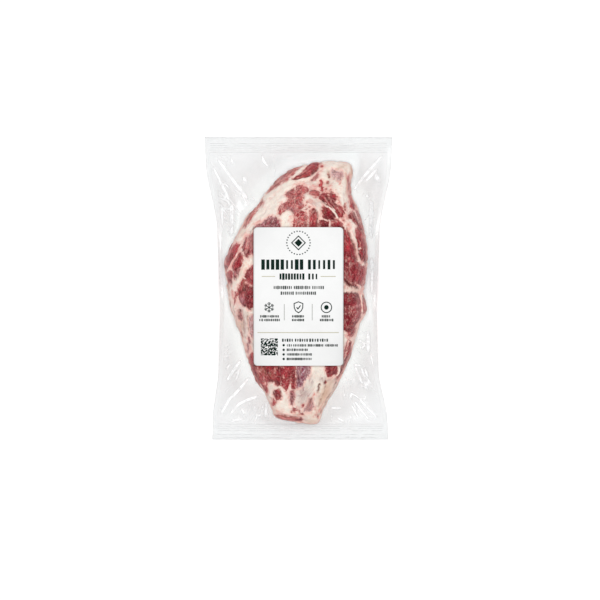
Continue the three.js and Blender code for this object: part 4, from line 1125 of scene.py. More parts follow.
def srgb(code):
    """A linear colour from a hex code."""
    parts = [int(code[i:i + 2], 16) / 255 for i in (0, 2, 4)]
    return tuple(p / 12.92 if p <= 0.04045 else ((p + 0.055) / 1.055) ** 2.4 for p in parts)


class Wire:
    """A node's output. Sums of wires and numbers add Math nodes to its bench."""

    def __init__(self, bench, socket):
        self.bench, self.socket = bench, socket

    def __add__(self, other):
        return self.bench.math("ADD", self, other)

    def __sub__(self, other):
        return self.bench.math("SUBTRACT", self, other)

    def __rsub__(self, other):
        return self.bench.math("SUBTRACT", other, self)

    def __mul__(self, other):
        return self.bench.math("MULTIPLY", self, other)

    def __truediv__(self, other):
        return self.bench.math("DIVIDE", self, other)

    def clamped(self):
        """Keeps the last sum between 0 and 1."""
        self.socket.node.use_clamp = True
        return self

    def parts(self):
        """The x, y and z of a vector."""
        node = self.bench.add("ShaderNodeSeparateXYZ", {0: self}).socket.node
        return [Wire(self.bench, socket) for socket in node.outputs]


class Bench:
    """Builds one node tree. Inputs are numbers, tuples or wires."""

    def __init__(self, tree):
        self.tree = tree

    def add(self, kind, inputs=(), out=0, **settings):
        """Adds a node, sets its options, fills its inputs and gives the wire from one output."""
        node = self.tree.nodes.new(kind)
        for name, value in settings.items():
            setattr(node, name, value)
        for key, value in dict(inputs).items():
            if isinstance(value, Wire):
                self.tree.links.new(value.socket, node.inputs[key])
            else:
                node.inputs[key].default_value = value
        return Wire(self, node.outputs[out] if len(node.outputs) else None)

    def math(self, operation, *values):
        return self.add("ShaderNodeMath", dict(enumerate(values)), operation=operation)

    def vector(self, operation, *values):
        return self.add("ShaderNodeVectorMath", dict(enumerate(values)), operation=operation)


class Finish(Bench):
    """A new material and the nodes that it is made from."""

    def __init__(self, name):
        self.material = bpy.data.materials.new(name)
        self.material.use_nodes = True
        super().__init__(self.material.node_tree)
        self.tree.nodes.clear()
        self.place = self.shader("TexCoord", out="Object")

    def shader(self, kind, inputs=(), out=0, **settings):
        return self.add("ShaderNode" + kind, inputs, out, **settings)

    def field(self, name, out="Fac"):
        return self.shader("Attribute", out=out, attribute_name=name)

    def ramp(self, value, low, high, out_low=0.0, out_high=1.0):
        """Eases a value from one range to another."""
        inputs = {"Value": value, "From Min": low, "From Max": high, "To Min": out_low, "To Max": out_high}
        return self.shader("MapRange", inputs, interpolation_type="SMOOTHSTEP")

    def tinted(self, base, *layers, mode="MIX"):
        """Lays colours over a base, each a (share, colour)."""
        for share, colour_over in layers:
            a, b = (c if isinstance(c, Wire) else (*c, 1) for c in (base, colour_over))
            base = self.shader("Mix", {0: share, 6: a, 7: b}, 2, data_type="RGBA", blend_type=mode)
        return base

    def speckle(self, vector, size, detail=3, roughness=0.55, distortion=0):
        """Noise with features of a size in millimetres, about 0.5 on average."""
        return self.shader("TexNoise", {
            "Vector": vector, "Scale": 1 / size / MM, "Detail": detail, "Roughness": roughness,
            "Distortion": distortion})

    def cells(self, vector, size, feature):
        """A pattern of cells of a size in millimetres."""
        return self.shader("TexVoronoi", {"Vector": vector, "Scale": 1 / size / MM}, feature=feature)

    def bump(self, height, strength, distance):
        """Fine relief of a height in millimetres."""
        return self.shader("Bump", {"Height": height, "Strength": strength, "Distance": distance * MM})

    def blend(self, share, a, b):
        return self.shader("MixShader", {0: share, 1: a, 2: b})

    def made(self, shader):
        """Ends the material with its shader."""
        self.shader("OutputMaterial", {0: shader})
        return self.material

    def made_solid(self, face, rough, others):
        """Ends an opaque material."""
        return self.made(self.shader("BsdfPrincipled", {"Base Color": face, "Roughness": rough, **others}))


# ---------------------------------------------------------------------------------------------
# Materials.

# Painted shade multiplied into the small hollows of fat and lean, painted light multiplied onto the flanks,
# and a painted shadow along the label's edges.
PIT_SHADE_ON_FAT, PIT_SHADE_ON_LEAN = (0.93, 0.92, 0.91), (0.51, 0.47, 0.47)
FLANK_LIGHT, LABEL_SHADE = (1.14, 1.04, 1.06), (0.25, 0.18, 0.18)


def meat_material(colours):
    """Lean meat, fat, silverskin and marbling, from the painted fields."""
    meat = Finish("lamb_meat")
    place, field, ramp, tinted, speckle = meat.place, meat.field, meat.ramp, meat.tinted, meat.speckle
    marbling = field("marbling")
    tones, fats, lines = (field(name, "Vector").parts() for name in ("tone", "tints", "strokes"))
    fibre = meat.vector("MULTIPLY", field("fibre", "Vector"), (MM * 0.3, MM, MM))

    # Ragged edge between lean and fat.
    ragged = speckle(place, 2.4, 2, 0.6, 0.5)
    strands = speckle(fibre, 2.3, 3, 0.6)
    edge = field("lean") + (speckle(place, 6, 2) - 0.5) * 3 + (ragged - 0.5) * 3.5 + (strands - 0.5) * 5
    is_lean = ramp(edge, -0.7, 0.7)

    # Lean meat: tones, then fibres, a paler rim and the veil.
    fine = speckle(place, 1.4, 3, 0.65)
    dark = (tones[0] + (speckle(place, 7) - 0.5) * 2.6).clamped()
    veil = (field("veil") * ramp(ragged, 0.35, 0.6, 0.55, 1.1)).clamped()
    lean = tinted(
        colours.lean, (dark, colours.lean_dark),
        (tones[1] * 0.85, colours.lean_purple), (tones[2] * 0.7, colours.lean_pale),
        (ramp(speckle(fibre, 5, 2, 0.5), 0.5, 0.66, 0, 0.5), colours.lean_dark),
        (ramp(strands, 0.52, 0.66, 0, 0.4), colours.lean_dark),
        (ramp(strands, 0.34, 0.46, 0.35, 0), colours.lean_pale),
        (ramp(edge, 0.4, 2.2, 0.3, 0), colours.lean_pale),
        (veil, colours.veil))

    # Marbling: a net of pale threads between bundles of fibres, lumps and specks.
    stretched = meat.vector("MULTIPLY", fibre, (1.2, 1, 1))
    bend = meat.shader("TexNoise", {"Vector": stretched, "Scale": 1 / 6 / MM, "Detail": 2}, 1)
    bent, whirl = (meat.vector("MULTIPLY_ADD", bend, (reach,) * 3, along)
                   for reach, along in ((0.006, stretched), (0.005, place)))
    bundles = meat.cells(bent, 4.6, "DISTANCE_TO_EDGE")
    lumps = meat.cells(whirl, 4.8, "DISTANCE_TO_EDGE")
    amount = (marbling * 0.85 + 0.1) * ramp(speckle(place, 6), 0.42, 0.62)
    threads = tinted(colours.marbling, (tones[1], colours.lilac))
    lean = tinted(
        lean, ((ramp(bundles, 0, 0.14, 1.2, 0) * amount).clamped(), threads),
        (ramp(lumps, 0, 0.1, 1, 0) * ramp(marbling, 0.55, 1, 0, 0.9), threads),
        ((ramp(speckle(place, 2.6, 2), 0.6, 0.68) * amount).clamped(), threads))

    # Fat: pink, silver and tan tints, lobes, grease, red wisps and veins.
    lobes = meat.cells(place, 3.4, "SMOOTH_F1")
    mottle = speckle(place, 6, 4, 0.62, 0.6)
    pink = (fats[0] + (mottle - 0.58) * 2.4).clamped()
    grease = ramp(speckle(fibre, 3.4, 3, 0.6), 0.5, 0.66, 0, 0.55)
    wisps = ramp(speckle(stretched, 3.8, 3, 0.6, 0.4), 0.53, 0.63)
    veins = meat.math("ABSOLUTE", speckle(stretched, 9, 1, 0.5, 1.2) - 0.5)
    rim = ramp(edge, -3.2, -0.2) * (1 - is_lean)
    fat = tinted(
        colours.fat, (pink, colours.fat_pink),
        (fats[1] * ramp(strands, 0.35, 0.6, 0.65, 1), colours.silverskin),
        (fats[2] * 0.9, colours.fat_tan),
        (ramp(lobes, 0.3, 0.75, 0, 0.12), colours.fat_tan),
        (grease * (fats[1] + 0.2), colours.lean_purple),
        ((wisps * (fats[0] * 0.8 + 0.1)).clamped(), colours.lean_pale),
        (ramp(veins, 0, 0.022, 0.8, 0) * ramp(pink, 0.2, 0.8, 0.05, 1), colours.lean),
        (rim * 0.75, colours.fat_pink))

    # Drawn lines and clefts over both. The rosy share also holds the painted sheen on the leg's steep
    # sides, and the clefts are painted shade.
    shaded, rosy_and_sheen, tawny = (meat.math("MINIMUM", line, 1) for line in lines)
    surface = tinted(
        fat, (is_lean, lean), (tawny, colours.tawny), (shaded, colours.cleft), (rosy_and_sheen, colours.fat_pink),
        (field("cleft") * ramp(ragged, 0.35, 0.6, 0.35, 0.95), colours.cleft))

    # Painted shade in the small hollows, then pale pink specks on the lean. The flanks, where the film is
    # tight, are painted lighter as painted light and sheen, and a painted shadow runs along the label's
    # edges.
    pit_shade = ramp(speckle(fibre, 1.5, 3, 0.7), 0.42, 0.62)
    surface = tinted(surface, (pit_shade, tinted(PIT_SHADE_ON_FAT, (is_lean, PIT_SHADE_ON_LEAN))), mode="MULTIPLY")
    surface = tinted(surface, (ramp(fine, 0.5, 0.68, 0, 0.2) * is_lean, colours.fat_pink))
    surface = tinted(
        surface, ((field("flank") * (is_lean + 0.5)).clamped(), FLANK_LIGHT),
        (field("label_shade") * 0.65, LABEL_SHADE), mode="MULTIPLY")

    height = strands * 0.5 + fine * 0.35 + lobes * -0.4 + is_lean * -0.35
    return meat.made_solid(surface, ramp(mottle, 0.3, 0.7, 0.36, 0.52), {
        "Normal": meat.bump(height, 0.55, 0.8), "IOR": 1.4, "Specular IOR Level": 0.2,
        "Subsurface Weight": 0.06, "Subsurface Radius": (1, 0.35, 0.25), "Subsurface Scale": 2.5 * MM})


FILM_ROUGHNESS, SEAL_ROUGHNESS = 0.19, 0.2


def film_layers(film, tone, roughness):
    """The clear, glossy, hazy and white shaders that film is mixed from, and the share of gloss."""
    bump = film.bump(film.speckle(film.place, 7, 3, 0.6, 0.8), 0.3, 0.6)
    clear = film.shader("BsdfTransparent", {"Color": tone})
    gloss = film.shader("BsdfAnisotropic", {"Color": (1, 1, 1, 1), "Roughness": roughness, "Normal": bump})
    white = film.shader("BsdfDiffuse", {"Color": (0.99, 0.99, 0.99, 1)})
    through = film.shader("BsdfTranslucent", {"Color": (0.97, 0.97, 0.97, 1)})
    haze = film.blend(0.4, white, through)
    fresnel = film.shader("Fresnel", {"IOR": 1.5, "Normal": bump})
    return clear, gloss, haze, white, fresnel


def film_material(looks):
    """Clear film: see-through, with a soft gloss and a little haze. Folds are whitened, partly as stress
    whitening and partly as a painted highlight, and near the leg the film is clearer as painted light.
    """
    film = Finish("clear_film")
    ramp, mist_and_painted_light = film.ramp, film.field("mist_and_painted_light")
    # Painted light: near the leg the film lets through more light and less red, which lifts the leg's
    # shadow and cancels the red cast of its reflection.
    tone = film.tinted((0.985, 1, 1), (ramp(mist_and_painted_light, 0.2, 0.9), looks.film_tint))
    clear, gloss, haze, white, fresnel = film_layers(film, tone, FILM_ROUGHNESS)
    share = film.math("MINIMUM", fresnel, ramp(film.field("cling"), 0, 1, 0.07, 0.008))
    # Folds whiten in patches: stress whitening of the film and a painted highlight along the folds.
    patchy_whitening = ramp(film.speckle(film.place, 6), 0.35, 0.6, 0.55, 1)
    misted = film.blend(mist_and_painted_light * looks.film_haze, film.blend(share, clear, gloss), haze)
    return film.made(film.blend(ramp(film.field("stress_and_highlight"), 0.1, 0.55) * patchy_whitening, misted, white))


def seal_material(looks):
    """Pressed film: clear with whitened stretches."""
    film = Finish("pressed_film")
    tone = (*(mix(c, 1, 0.5) for c in looks.film_tint), 1)
    clear, gloss, haze, _, fresnel = film_layers(film, tone, SEAL_ROUGHNESS)
    stretches = film.speckle(film.vector("MULTIPLY", film.place, (1, 9, 1)), 22, 2)
    coated = film.blend(film.math("MINIMUM", fresnel, 0.3), clear, gloss)
    return film.made(film.blend(film.ramp(stretches, 0.42, 0.62, 0.1, 0.7), coated, haze))


def paper_material(colour):
    """Smooth paper with faint fibres."""
    paper = Finish("label_paper")
    fibres = paper.speckle(paper.place, 0.8, 4, 0.7)
    shade = paper.ramp(fibres * 0.6 + paper.speckle(paper.place, 18, 2) * 0.4, 0.35, 0.65)
    face = paper.tinted([c * 0.955 for c in colour], (shade, colour))
    return paper.made_solid(face, paper.ramp(fibres, 0.3, 0.7, 0.5, 0.62), {
        "Normal": paper.bump(fibres, 0.12, 0.2)})


def ink_material(name, colour):
    """Printed ink, a little uneven as it sits on paper."""
    ink = Finish(name)
    spread = ink.speckle(ink.place, 0.5, 3, 0.6)
    face = ink.tinted(colour, (ink.ramp(spread, 0.4, 0.7), [min(1, c * 1.3) for c in colour]))
    return ink.made_solid(face, ink.ramp(spread, 0.3, 0.7, 0.5, 0.65), {"Specular IOR Level": 0.1})


def floor_material(colour):
    floor = Finish("studio_floor")
    cloud = floor.speckle(floor.place, 300, 2)
    face = floor.tinted([c * 0.995 for c in colour], (cloud, colour))
    return floor.made_solid(face, 0.8, {"Specular IOR Level": 0.2})


# ---------------------------------------------------------------------------------------------
# The label and its print.

LABEL_CELL = 2.0
CORNER_POINTS = 7
PAPER_WAVE = 0.12
PRINT_LIFT = 0.04
PRINT_THICKNESS = 0.05
PRINT_CELL = 2.5
RING_STEPS = 48
SHORTEST_BLOCK = 0.78


def label_underside(x, y):
    """The label's lower face, with slow waves."""
    return label_bed(x, y) + PAPER_WAVE * level_grain(x, y, 30, 2, 2.0)


def label_sheet():
    """A thin sheet with round corners that follows the top of the pack."""
    columns, rows = round(LABEL_WIDTH / LABEL_CELL), round(LABEL_LENGTH / LABEL_CELL)
    corner = LABEL_CORNER * (1 - np.cos(np.linspace(0, np.pi / 2, CORNER_POINTS)))
    half = LABEL_LENGTH / 2
    straight = np.linspace(-half + LABEL_CORNER, half - LABEL_CORNER, rows)[1:-1]
    v = np.concatenate([-half + corner, straight, half - corner[::-1]])
    past = np.maximum(0, np.abs(v) - half + LABEL_CORNER)
    inset = LABEL_CORNER - np.sqrt(np.maximum(0, LABEL_CORNER**2 - past**2))
    x = np.linspace(-1, 1, columns + 1) * (LABEL_WIDTH / 2 - inset)[:, None]
    y = np.broadcast_to((v + LABEL_Y)[:, None], x.shape)
    low = label_underside(x, y)
    layers = [np.stack([x, y, low + lift], -1).reshape(-1, 3) for lift in (0, PAPER)]
    index = np.arange(x.size).reshape(x.shape)
    cells = np.stack([index[:-1, :-1], index[:-1, 1:], index[1:, 1:], index[1:, :-1]], -1).reshape(-1, 4)
    rim = np.concatenate([index[0], index[1:, -1], index[-1, -2::-1], index[-2:0:-1, 0]])
    ahead = np.roll(rim, -1)
    sides = np.column_stack([rim, ahead, ahead + x.size, rim + x.size])
    faces = np.vstack([cells + x.size, cells[:, [0, 3, 2, 1]], sides]).tolist()
    return mesh_object("label_sheet", np.vstack(layers), faces)


class Artwork:
    """Flat print shapes in label millimetres, gathered as one mesh."""

    def __init__(self):
        self.points, self.faces = [], []

    def bar(self, x, y, width, height):
        """A rectangle centred on x, y, split into cells."""
        across, along = (max(1, math.ceil(side / PRINT_CELL)) for side in (width, height))
        first = len(self.points)
        for i in range(along + 1):
            for j in range(across + 1):
                self.points.append((x + width * (j / across - 0.5), y + height * (i / along - 0.5)))
        for i in range(along):
            for j in range(across):
                k = first + i * (across + 1) + j
                self.faces.append((k, k + 1, k + across + 2, k + across + 1))

    def stroke(self, path, width, closed=False):
        """A line of even width through the points, with mitred bends."""
        given = [np.array(p, float) for p in path]
        if closed:
            given.append(given[0])
        steps = [given[0]]
        for a, b in zip(given, given[1:]):
            pieces = max(1, math.ceil(np.hypot(*(b - a)) / PRINT_CELL))
            steps += [mix(a, b, k / pieces) for k in range(1, pieces + 1)]
        if closed:
            steps.pop()
        count, first = len(steps), len(self.points)
        for k, p in enumerate(steps):
            before = steps[k - 1] if k or closed else 2 * p - steps[1]
            after = steps[(k + 1) % count] if k < count - 1 or closed else 2 * p - steps[k - 1]
            way_in, way_out = (step / np.hypot(*step) for step in (p - before, after - p))
            tangent = (way_in + way_out) / np.hypot(*(way_in + way_out))
            side = np.array([-tangent[1], tangent[0]]) * width / 2 / max(0.4, float(tangent @ way_in))
            self.points += [tuple(p - side), tuple(p + side)]
        for k in range(count if closed else count - 1):
            a, b = first + 2 * k, first + 2 * ((k + 1) % count)
            self.faces.append((a, b, b + 1, a + 1))

    def ring(self, x, y, radius, width):
        self.stroke(circle(x, y, radius, RING_STEPS), width, closed=True)

    def disc(self, x, y, radius, steps=20):
        first = len(self.points)
        self.points += [(x, y), *circle(x, y, radius, steps)]
        self.faces += [(first, first + 1 + k, first + 1 + (k + 1) % steps) for k in range(steps)]

    def finish(self, name, material):
        return print_piece(mesh_object(name, [(*p, 0) for p in self.points], self.faces, False), material)


def circle(x, y, radius, steps):
    turn = [2 * math.pi * k / steps for k in range(steps)]
    return [(x + radius * math.cos(a), y + radius * math.sin(a)) for a in turn]


def print_piece(flat, material):
    """Lays flat print on the label and gives it a hair's thickness."""
    mesh = flat.data
    points = np.zeros(len(mesh.vertices) * 3)
    mesh.vertices.foreach_get("co", points)
    x, y, _ = points.reshape(-1, 3).T / MM
    points[2::3] = (label_underside(x, y) + PAPER + PRINT_LIFT) * MM
    mesh.vertices.foreach_set("co", points)
    solid = flat.modifiers.new("thickness", "SOLIDIFY")
    solid.thickness = PRINT_THICKNESS * MM
    solid.offset = 1
    mesh.materials.clear()
    mesh.materials.append(material)
    return plain_mesh(flat)


def plain_mesh(made):
    """Replaces an object's mesh with its evaluated one and drops its modifiers."""
    graph = bpy.context.evaluated_depsgraph_get()
    mesh = bpy.data.meshes.new_from_object(made.evaluated_get(graph))
    made.modifiers.clear()
    old = made.data
    made.data = mesh
    bpy.data.meshes.remove(old)
    mesh.name = made.name
    return made


def ride_as(piece, slot, *nodes):
    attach(piece, BODY)
    if nodes:
        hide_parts(*nodes)


# ---------------------------------------------------------------------------------------------
# Geometry Nodes trees.


class RepeatTree(Bench):
    """A Geometry Nodes tree that repeats a shape. sizes holds its inputs' names and defaults, and
    finish is the name of its material input."""

    KINDS = {int: "NodeSocketInt", float: "NodeSocketFloat", tuple: "NodeSocketVector"}

    def __init__(self, name, finish, sizes):
        super().__init__(bpy.data.node_groups.new(name, "GeometryNodeTree"))
        self.new_socket("Geometry", "NodeSocketGeometry", "OUTPUT")
        self.new_socket("Geometry", "NodeSocketGeometry")
        for label, default in sizes.items():
            self.new_socket(label, self.KINDS[type(default)]).default_value = default
        self.new_socket(finish, "NodeSocketMaterial")
        sockets = self.add("NodeGroupInput").socket.node.outputs
        self.size = {socket.name: Wire(self, socket) for socket in sockets}
        self.finish = self.size[finish]

    def new_socket(self, name, kind, in_out="INPUT"):
        return self.tree.interface.new_socket(name, in_out=in_out, socket_type=kind)

    def drawn(self, low, high):
        """A random number for each shape."""
        return self.add("FunctionNodeRandomValue", {2: low, 3: high, "Seed": self.size["Seed"]}, 1,
                        data_type="FLOAT")

    def grid(self, side_x, side_y, columns, rows):
        return self.add("GeometryNodeMeshGrid", {
            "Size X": side_x, "Size Y": side_y, "Vertices X": columns, "Vertices Y": rows})

    def repeat(self, points, shape, merged=False, **inputs):
        """Puts the shape on the points, as real and painted geometry, and ends the tree."""
        placed = self.add("GeometryNodeInstanceOnPoints", {"Points": points, "Instance": shape, **inputs})
        real = self.add("GeometryNodeRealizeInstances", {0: placed})
        if merged:
            real = self.add("GeometryNodeMergeByDistance", {"Geometry": real, "Distance": 0.01 * MM})
        painted = self.add("GeometryNodeSetMaterial", {"Geometry": real, "Material": self.finish})
        self.add("NodeGroupOutput", {"Geometry": painted})
        return self.tree


def block_rows_tree():
    """Blocks of uneven width along every edge of a mesh, in place of lettering."""
    tree = RepeatTree("block_rows", "Ink", {
        "Pitch": 0.003, "Height": 0.003, "Narrowest": 0.4, "Widest": 0.8, "Seed": 1})
    size = tree.size
    lines = tree.add("GeometryNodeMeshToCurve", {"Mesh": size["Geometry"]})
    points = tree.add("GeometryNodeCurveToPoints", {"Curve": lines, "Length": size["Pitch"]}, mode="LENGTH")
    width = tree.drawn(size["Narrowest"], size["Widest"]) * size["Pitch"]
    height = tree.drawn(SHORTEST_BLOCK, 1) * size["Height"]
    scale = tree.add("ShaderNodeCombineXYZ", {0: width, 1: height, 2: 1})
    return tree.repeat(points, tree.grid(1, 1, 2, 3), Scale=scale)


def block_square_tree():
    """A square of small blocks, of which a seeded share is kept."""
    tree = RepeatTree("block_square", "Ink", {"Side": 0.019, "Blocks": 17, "Share": 0.5, "Seed": 7})
    side, blocks, share, seed = (tree.size[name] for name in ("Side", "Blocks", "Share", "Seed"))
    keep = tree.add(
        "FunctionNodeRandomValue", {"Probability": share, "Seed": seed}, 3, data_type="BOOLEAN")
    cell = side / (blocks - 1)
    square, block = tree.grid(side, side, blocks, blocks), tree.grid(cell, cell, 2, 2)
    return tree.repeat(square, block, merged=True, Selection=keep)


def line_rows_tree():
    """Round lines along a path, repeated in even steps."""
    tree = RepeatTree("line_rows", "Film", {"Count": 5, "Step": (0, 0.003, 0), "Radius": 0.0003})
    size = tree.size
    path = tree.add("GeometryNodeMeshToCurve", {"Mesh": size["Geometry"]})
    profile = tree.add("GeometryNodeCurvePrimitiveCircle", {"Resolution": 6, "Radius": size["Radius"]})
    tube = tree.add("GeometryNodeCurveToMesh", {"Curve": path, "Profile Curve": profile, "Fill Caps": True})
    rows = tree.add("GeometryNodeMeshLine", {"Count": size["Count"], "Offset": size["Step"]})
    return tree.repeat(rows, tube)


def grown(name, path, tree, values):
    """Runs a Geometry Nodes tree on a path, or on a list of separate lines, and keeps the mesh."""
    separate = isinstance(path[0][0], tuple)
    points = [p for line in path for p in line] if separate else path
    edges = [(i, i + 1) for i in range(0, len(points) - 1, 2 if separate else 1)]
    mesh = bpy.data.meshes.new(name)
    mesh.from_pydata([(x * MM, y * MM, 0) for x, y in points], edges, [])
    made = shown(name, mesh)
    modifier = made.modifiers.new("repeat", "NODES")
    modifier.node_group = tree
    for item in tree.interface.items_tree:
        if item.item_type == "SOCKET" and item.in_out == "INPUT" and item.name in values:
            modifier[item.identifier] = values[item.name]
    return plain_mesh(made)


# ---------------------------------------------------------------------------------------------
# What a user would change.


def colour(name, description, default):
    return bpy.props.FloatVectorProperty(
        name=name, description=description, subtype="COLOR", size=3, min=0, max=1, default=default)


class LambPackSettings(bpy.types.PropertyGroup):
    """Colours and sizes of the pack."""

    lean: colour("Lean", "Bright red of lean meat", srgb("ba2f3c"))
    lean_dark: colour("Dark lean", "Deepest red of the meat", srgb("7a1523"))
    lean_purple: colour("Purple lean", "Meat under silverskin", srgb("88475c"))
    lean_pale: colour("Pale lean", "Thin or dry meat", srgb("d27a70"))
    marbling: colour("Marbling", "Fat threads in the meat", srgb("e2a69d"))
    fat: colour("Fat", "Cream fat", srgb("f7ebdf"))
    fat_pink: colour("Pink fat", "Fat tinged with pink", srgb("ecb3a8"))
    fat_tan: colour("Tan fat", "Fat and sinew at bone and tendon", srgb("d8b198"))
    lilac: colour("Lilac threads", "Fat threads in purple meat", srgb("cfb0b6"))
    tawny: colour("Tawny lines", "Dry brown lines over the meat", srgb("96604f"))
    veil: colour("Veil", "Thin membrane over lean meat", srgb("dcc4c0"))
    silverskin: colour("Silverskin", "Grey membrane over meat", srgb("c3a9a2"))
    cleft: colour("Clefts", "Shade deep between muscles", srgb("55191d"))
    film_tint: colour("Film tint", "What one layer of film lets through", (0.966, 0.969, 0.969))
    film_haze: bpy.props.FloatProperty(
        name="Film haze", description="Milky share of the loose film", subtype="FACTOR",
        default=0.2, min=0, max=1)
    paper: colour("Paper", "Label paper", srgb("ebebea"))
    ink: colour("Dark ink", "Ink of the rows and signs", srgb("0b211b"))
    grey_ink: colour("Grey ink", "Ink of the small rows", srgb("343b38"))
    silver_ink: colour("Silver ink", "Ink of the thin dividers", srgb("a9aaa6"))
    gold_ink: colour("Gold ink", "Ink of the thin rules", srgb("b5b19d"))
    floor: colour("Floor", "Studio floor", (0.968, 0.97, 0.97))
    camera_height: bpy.props.FloatProperty(
        name="Camera height", description="Height of the camera over the floor", unit="LENGTH",
        default=6.0, min=1)


# ---------------------------------------------------------------------------------------------
# Operators.


class LAMB_OT_leg(bpy.types.Operator):
    """Build the leg of lamb"""

    bl_idname = "lamb.leg"
    bl_label = "Leg of Lamb"

    def execute(self, context):
        leg = build_leg()
        leg.data.materials.append(meat_material(context.scene.lamb_pack))
        ride_as(leg, "meat_in_film", "sealed_bag")
        return {"FINISHED"}


class LAMB_OT_film(bpy.types.Operator):
    """Build the clear vacuum film round the leg"""

    bl_idname = "lamb.film"
    bl_label = "Vacuum Film"

    def execute(self, context):
        film = build_film()
        film.data.materials.append(film_material(context.scene.lamb_pack))
        ride_as(film, "clear_film", "sealed_bag")
        return {"FINISHED"}


class LAMB_OT_seals(bpy.types.Operator):
    """Build the pressed lines of the seals and the cut edge of the bag"""

    bl_idname = "lamb.seals"
    bl_label = "Seal Lines"

    def execute(self, context):
        material = seal_material(context.scene.lamb_pack)
        for piece in build_seal_lines(line_rows_tree(), material):
            ride_as(piece, "clear_film")
        return {"FINISHED"}


class LAMB_OT_label(bpy.types.Operator):
    """Build the paper label on top of the pack"""

    bl_idname = "lamb.label"
    bl_label = "Paper Label"

    def execute(self, context):
        label = label_sheet()
        label.data.materials.append(paper_material(context.scene.lamb_pack.paper[:]))
        ride_as(label, "label_paper", "label")
        return {"FINISHED"}


class LAMB_OT_print(bpy.types.Operator):
    """Print the label with generic rows of blocks, rules and signs"""

    bl_idname = "lamb.label_print"
    bl_label = "Label Print"

    def execute(self, context):
        settings = context.scene.lamb_pack
        dark = ink_material("dark_ink", settings.ink[:])
        grey = ink_material("grey_ink", settings.grey_ink[:])
        gold = ink_material("gold_ink", settings.gold_ink[:])
        silver = ink_material("silver_ink", settings.silver_ink[:])
        rows = print_rows(dark, grey)
        signs = (print_code(dark), *print_signs(dark), *print_rules(gold, silver))
        for piece in (*rows, *signs):
            ride_as(piece, "label_print")
        return {"FINISHED"}


# Rows of print: (name, ink, height, pitch, narrowest, widest, seed, [(x from, x to, y)]).
PRINT_ROWS = [
    ("print_title", "dark", 11.8, 5.2, 0.3, 0.82, 3, [(-39.4, 3.4, 26.2), (12.2, 39.4, 26.2)]),
    ("print_subtitle", "dark", 7.4, 3.0, 0.5, 0.9, 5, [(-20, 5.4, 12.9), (12, 20, 12.9)]),
    ("print_lines", "grey", 3.8, 2.0, 0.5, 0.85, 8, [
        (-27, -8, 0.7), (-4.5, 12.5, 0.7), (16, 27.5, 0.7), (-19, -6, -5.6), (-2.5, 18.6, -5.6)]),
    ("print_captions", "grey", 2.9, 1.7, 0.6, 0.95, 9, [
        (-42, -35, -31.4), (-33, -22.5, -31.4), (-43, -38, -35.5), (-36, -32, -35.5), (-30, -21.5, -35.5),
        (-6.5, 5.5, -31.4), (-6.5, 5.5, -35.5), (26.5, 34.5, -31.4), (24.5, 38, -35.5)]),
    ("print_heading", "dark", 3.6, 2.3, 0.5, 0.85, 12, [
        (-17.4, -7, -58), (-3.2, 9.6, -58), (13, 21.5, -58), (24.5, 32, -58)]),
    ("print_details", "grey", 2.8, 1.7, 0.5, 0.95, 15, [
        (-12.4, -8, -63.8), (-5.4, 8, -63.8), (11, 27, -63.8), (30, 43, -63.8), (-12.4, -7, -68.7),
        (-4.5, 9.6, -68.7), (-12.4, 14, -73.9), (-12.4, 14, -79)]),
]


def print_rows(dark, grey):
    tree = block_rows_tree()
    rows = []
    for name, ink, height, pitch, narrowest, widest, seed, lines in PRINT_ROWS:
        material = dark if ink == "dark" else grey
        values = {"Pitch": pitch * MM, "Height": height * MM, "Narrowest": narrowest, "Widest": widest,
                  "Seed": seed, "Ink": material}
        edges = [((a, y), (b, y)) for a, b, y in lines]
        rows.append(print_piece(grown(name, edges, tree, values), material))
    return rows


CODE_CENTRE = (-32.5, -65.5)
CODE_SIDE = 18


def print_code(ink):
    """A square of seeded blocks that encodes nothing."""
    values = {"Side": CODE_SIDE * MM, "Blocks": 21, "Share": 0.66, "Seed": 21, "Ink": ink}
    square = grown("print_blocks", [((0, 0), (1, 0))], block_square_tree(), values)
    for vertex in square.data.vertices:
        vertex.co.x += CODE_CENTRE[0] * MM
        vertex.co.y += CODE_CENTRE[1] * MM
    return print_piece(square, ink)


SIGN_Y = -21.4
FLAKE_X, FLAKE_REACH = -32.7, 5.6
RING_X = 31.1
CREST_Y, CREST_RADIUS, CREST_DOTS = 50.4, 13, 26
BULLET_X, BULLET_ROWS = -16.5, (-63.6, -68.8, -73.9, -79)


def crest_art():
    """Two diamonds in a ring of dots."""
    art = Artwork()
    for x, y in circle(0, CREST_Y, CREST_RADIUS, CREST_DOTS):
        art.disc(x, y, 0.8, 10)
    for reach, width in ((7.6, 1.1), (2.2, 3.2)):
        corners = [(reach, CREST_Y), (0, CREST_Y + reach), (-reach, CREST_Y), (0, CREST_Y - reach)]
        art.stroke(corners, width, closed=True)
    return art


def snowflake_art():
    art = Artwork()
    centre = np.array([FLAKE_X, SIGN_Y])
    for k in range(6):
        a = math.radians(60 * k + 30)
        ahead = np.array([math.cos(a), math.sin(a)])
        aside = np.array([-ahead[1], ahead[0]])
        art.stroke([centre, centre + ahead * FLAKE_REACH], 0.8)
        for share, reach in ((0.55, 1.9), (0.8, 1.3)):
            knot = centre + ahead * FLAKE_REACH * share
            for side in (1, -1):
                art.stroke([knot, knot + ahead * reach * 0.6 + aside * side * reach], 0.7)
    return art


def shield_art():
    """A shield with a tick."""
    art = Artwork()
    half = [(0, 6.2), (4.9, 4.2), (4.7, -0.5), (3, -3.9), (0, -6)]
    outline = half + [(-x, y) for x, y in half[-2:0:-1]]
    art.stroke([(x, SIGN_Y + y) for x, y in outline], 1.05, closed=True)
    art.stroke([(-2.2, SIGN_Y + 0.2), (-0.6, SIGN_Y - 1.7), (2.4, SIGN_Y + 2.2)], 1.15)
    return art


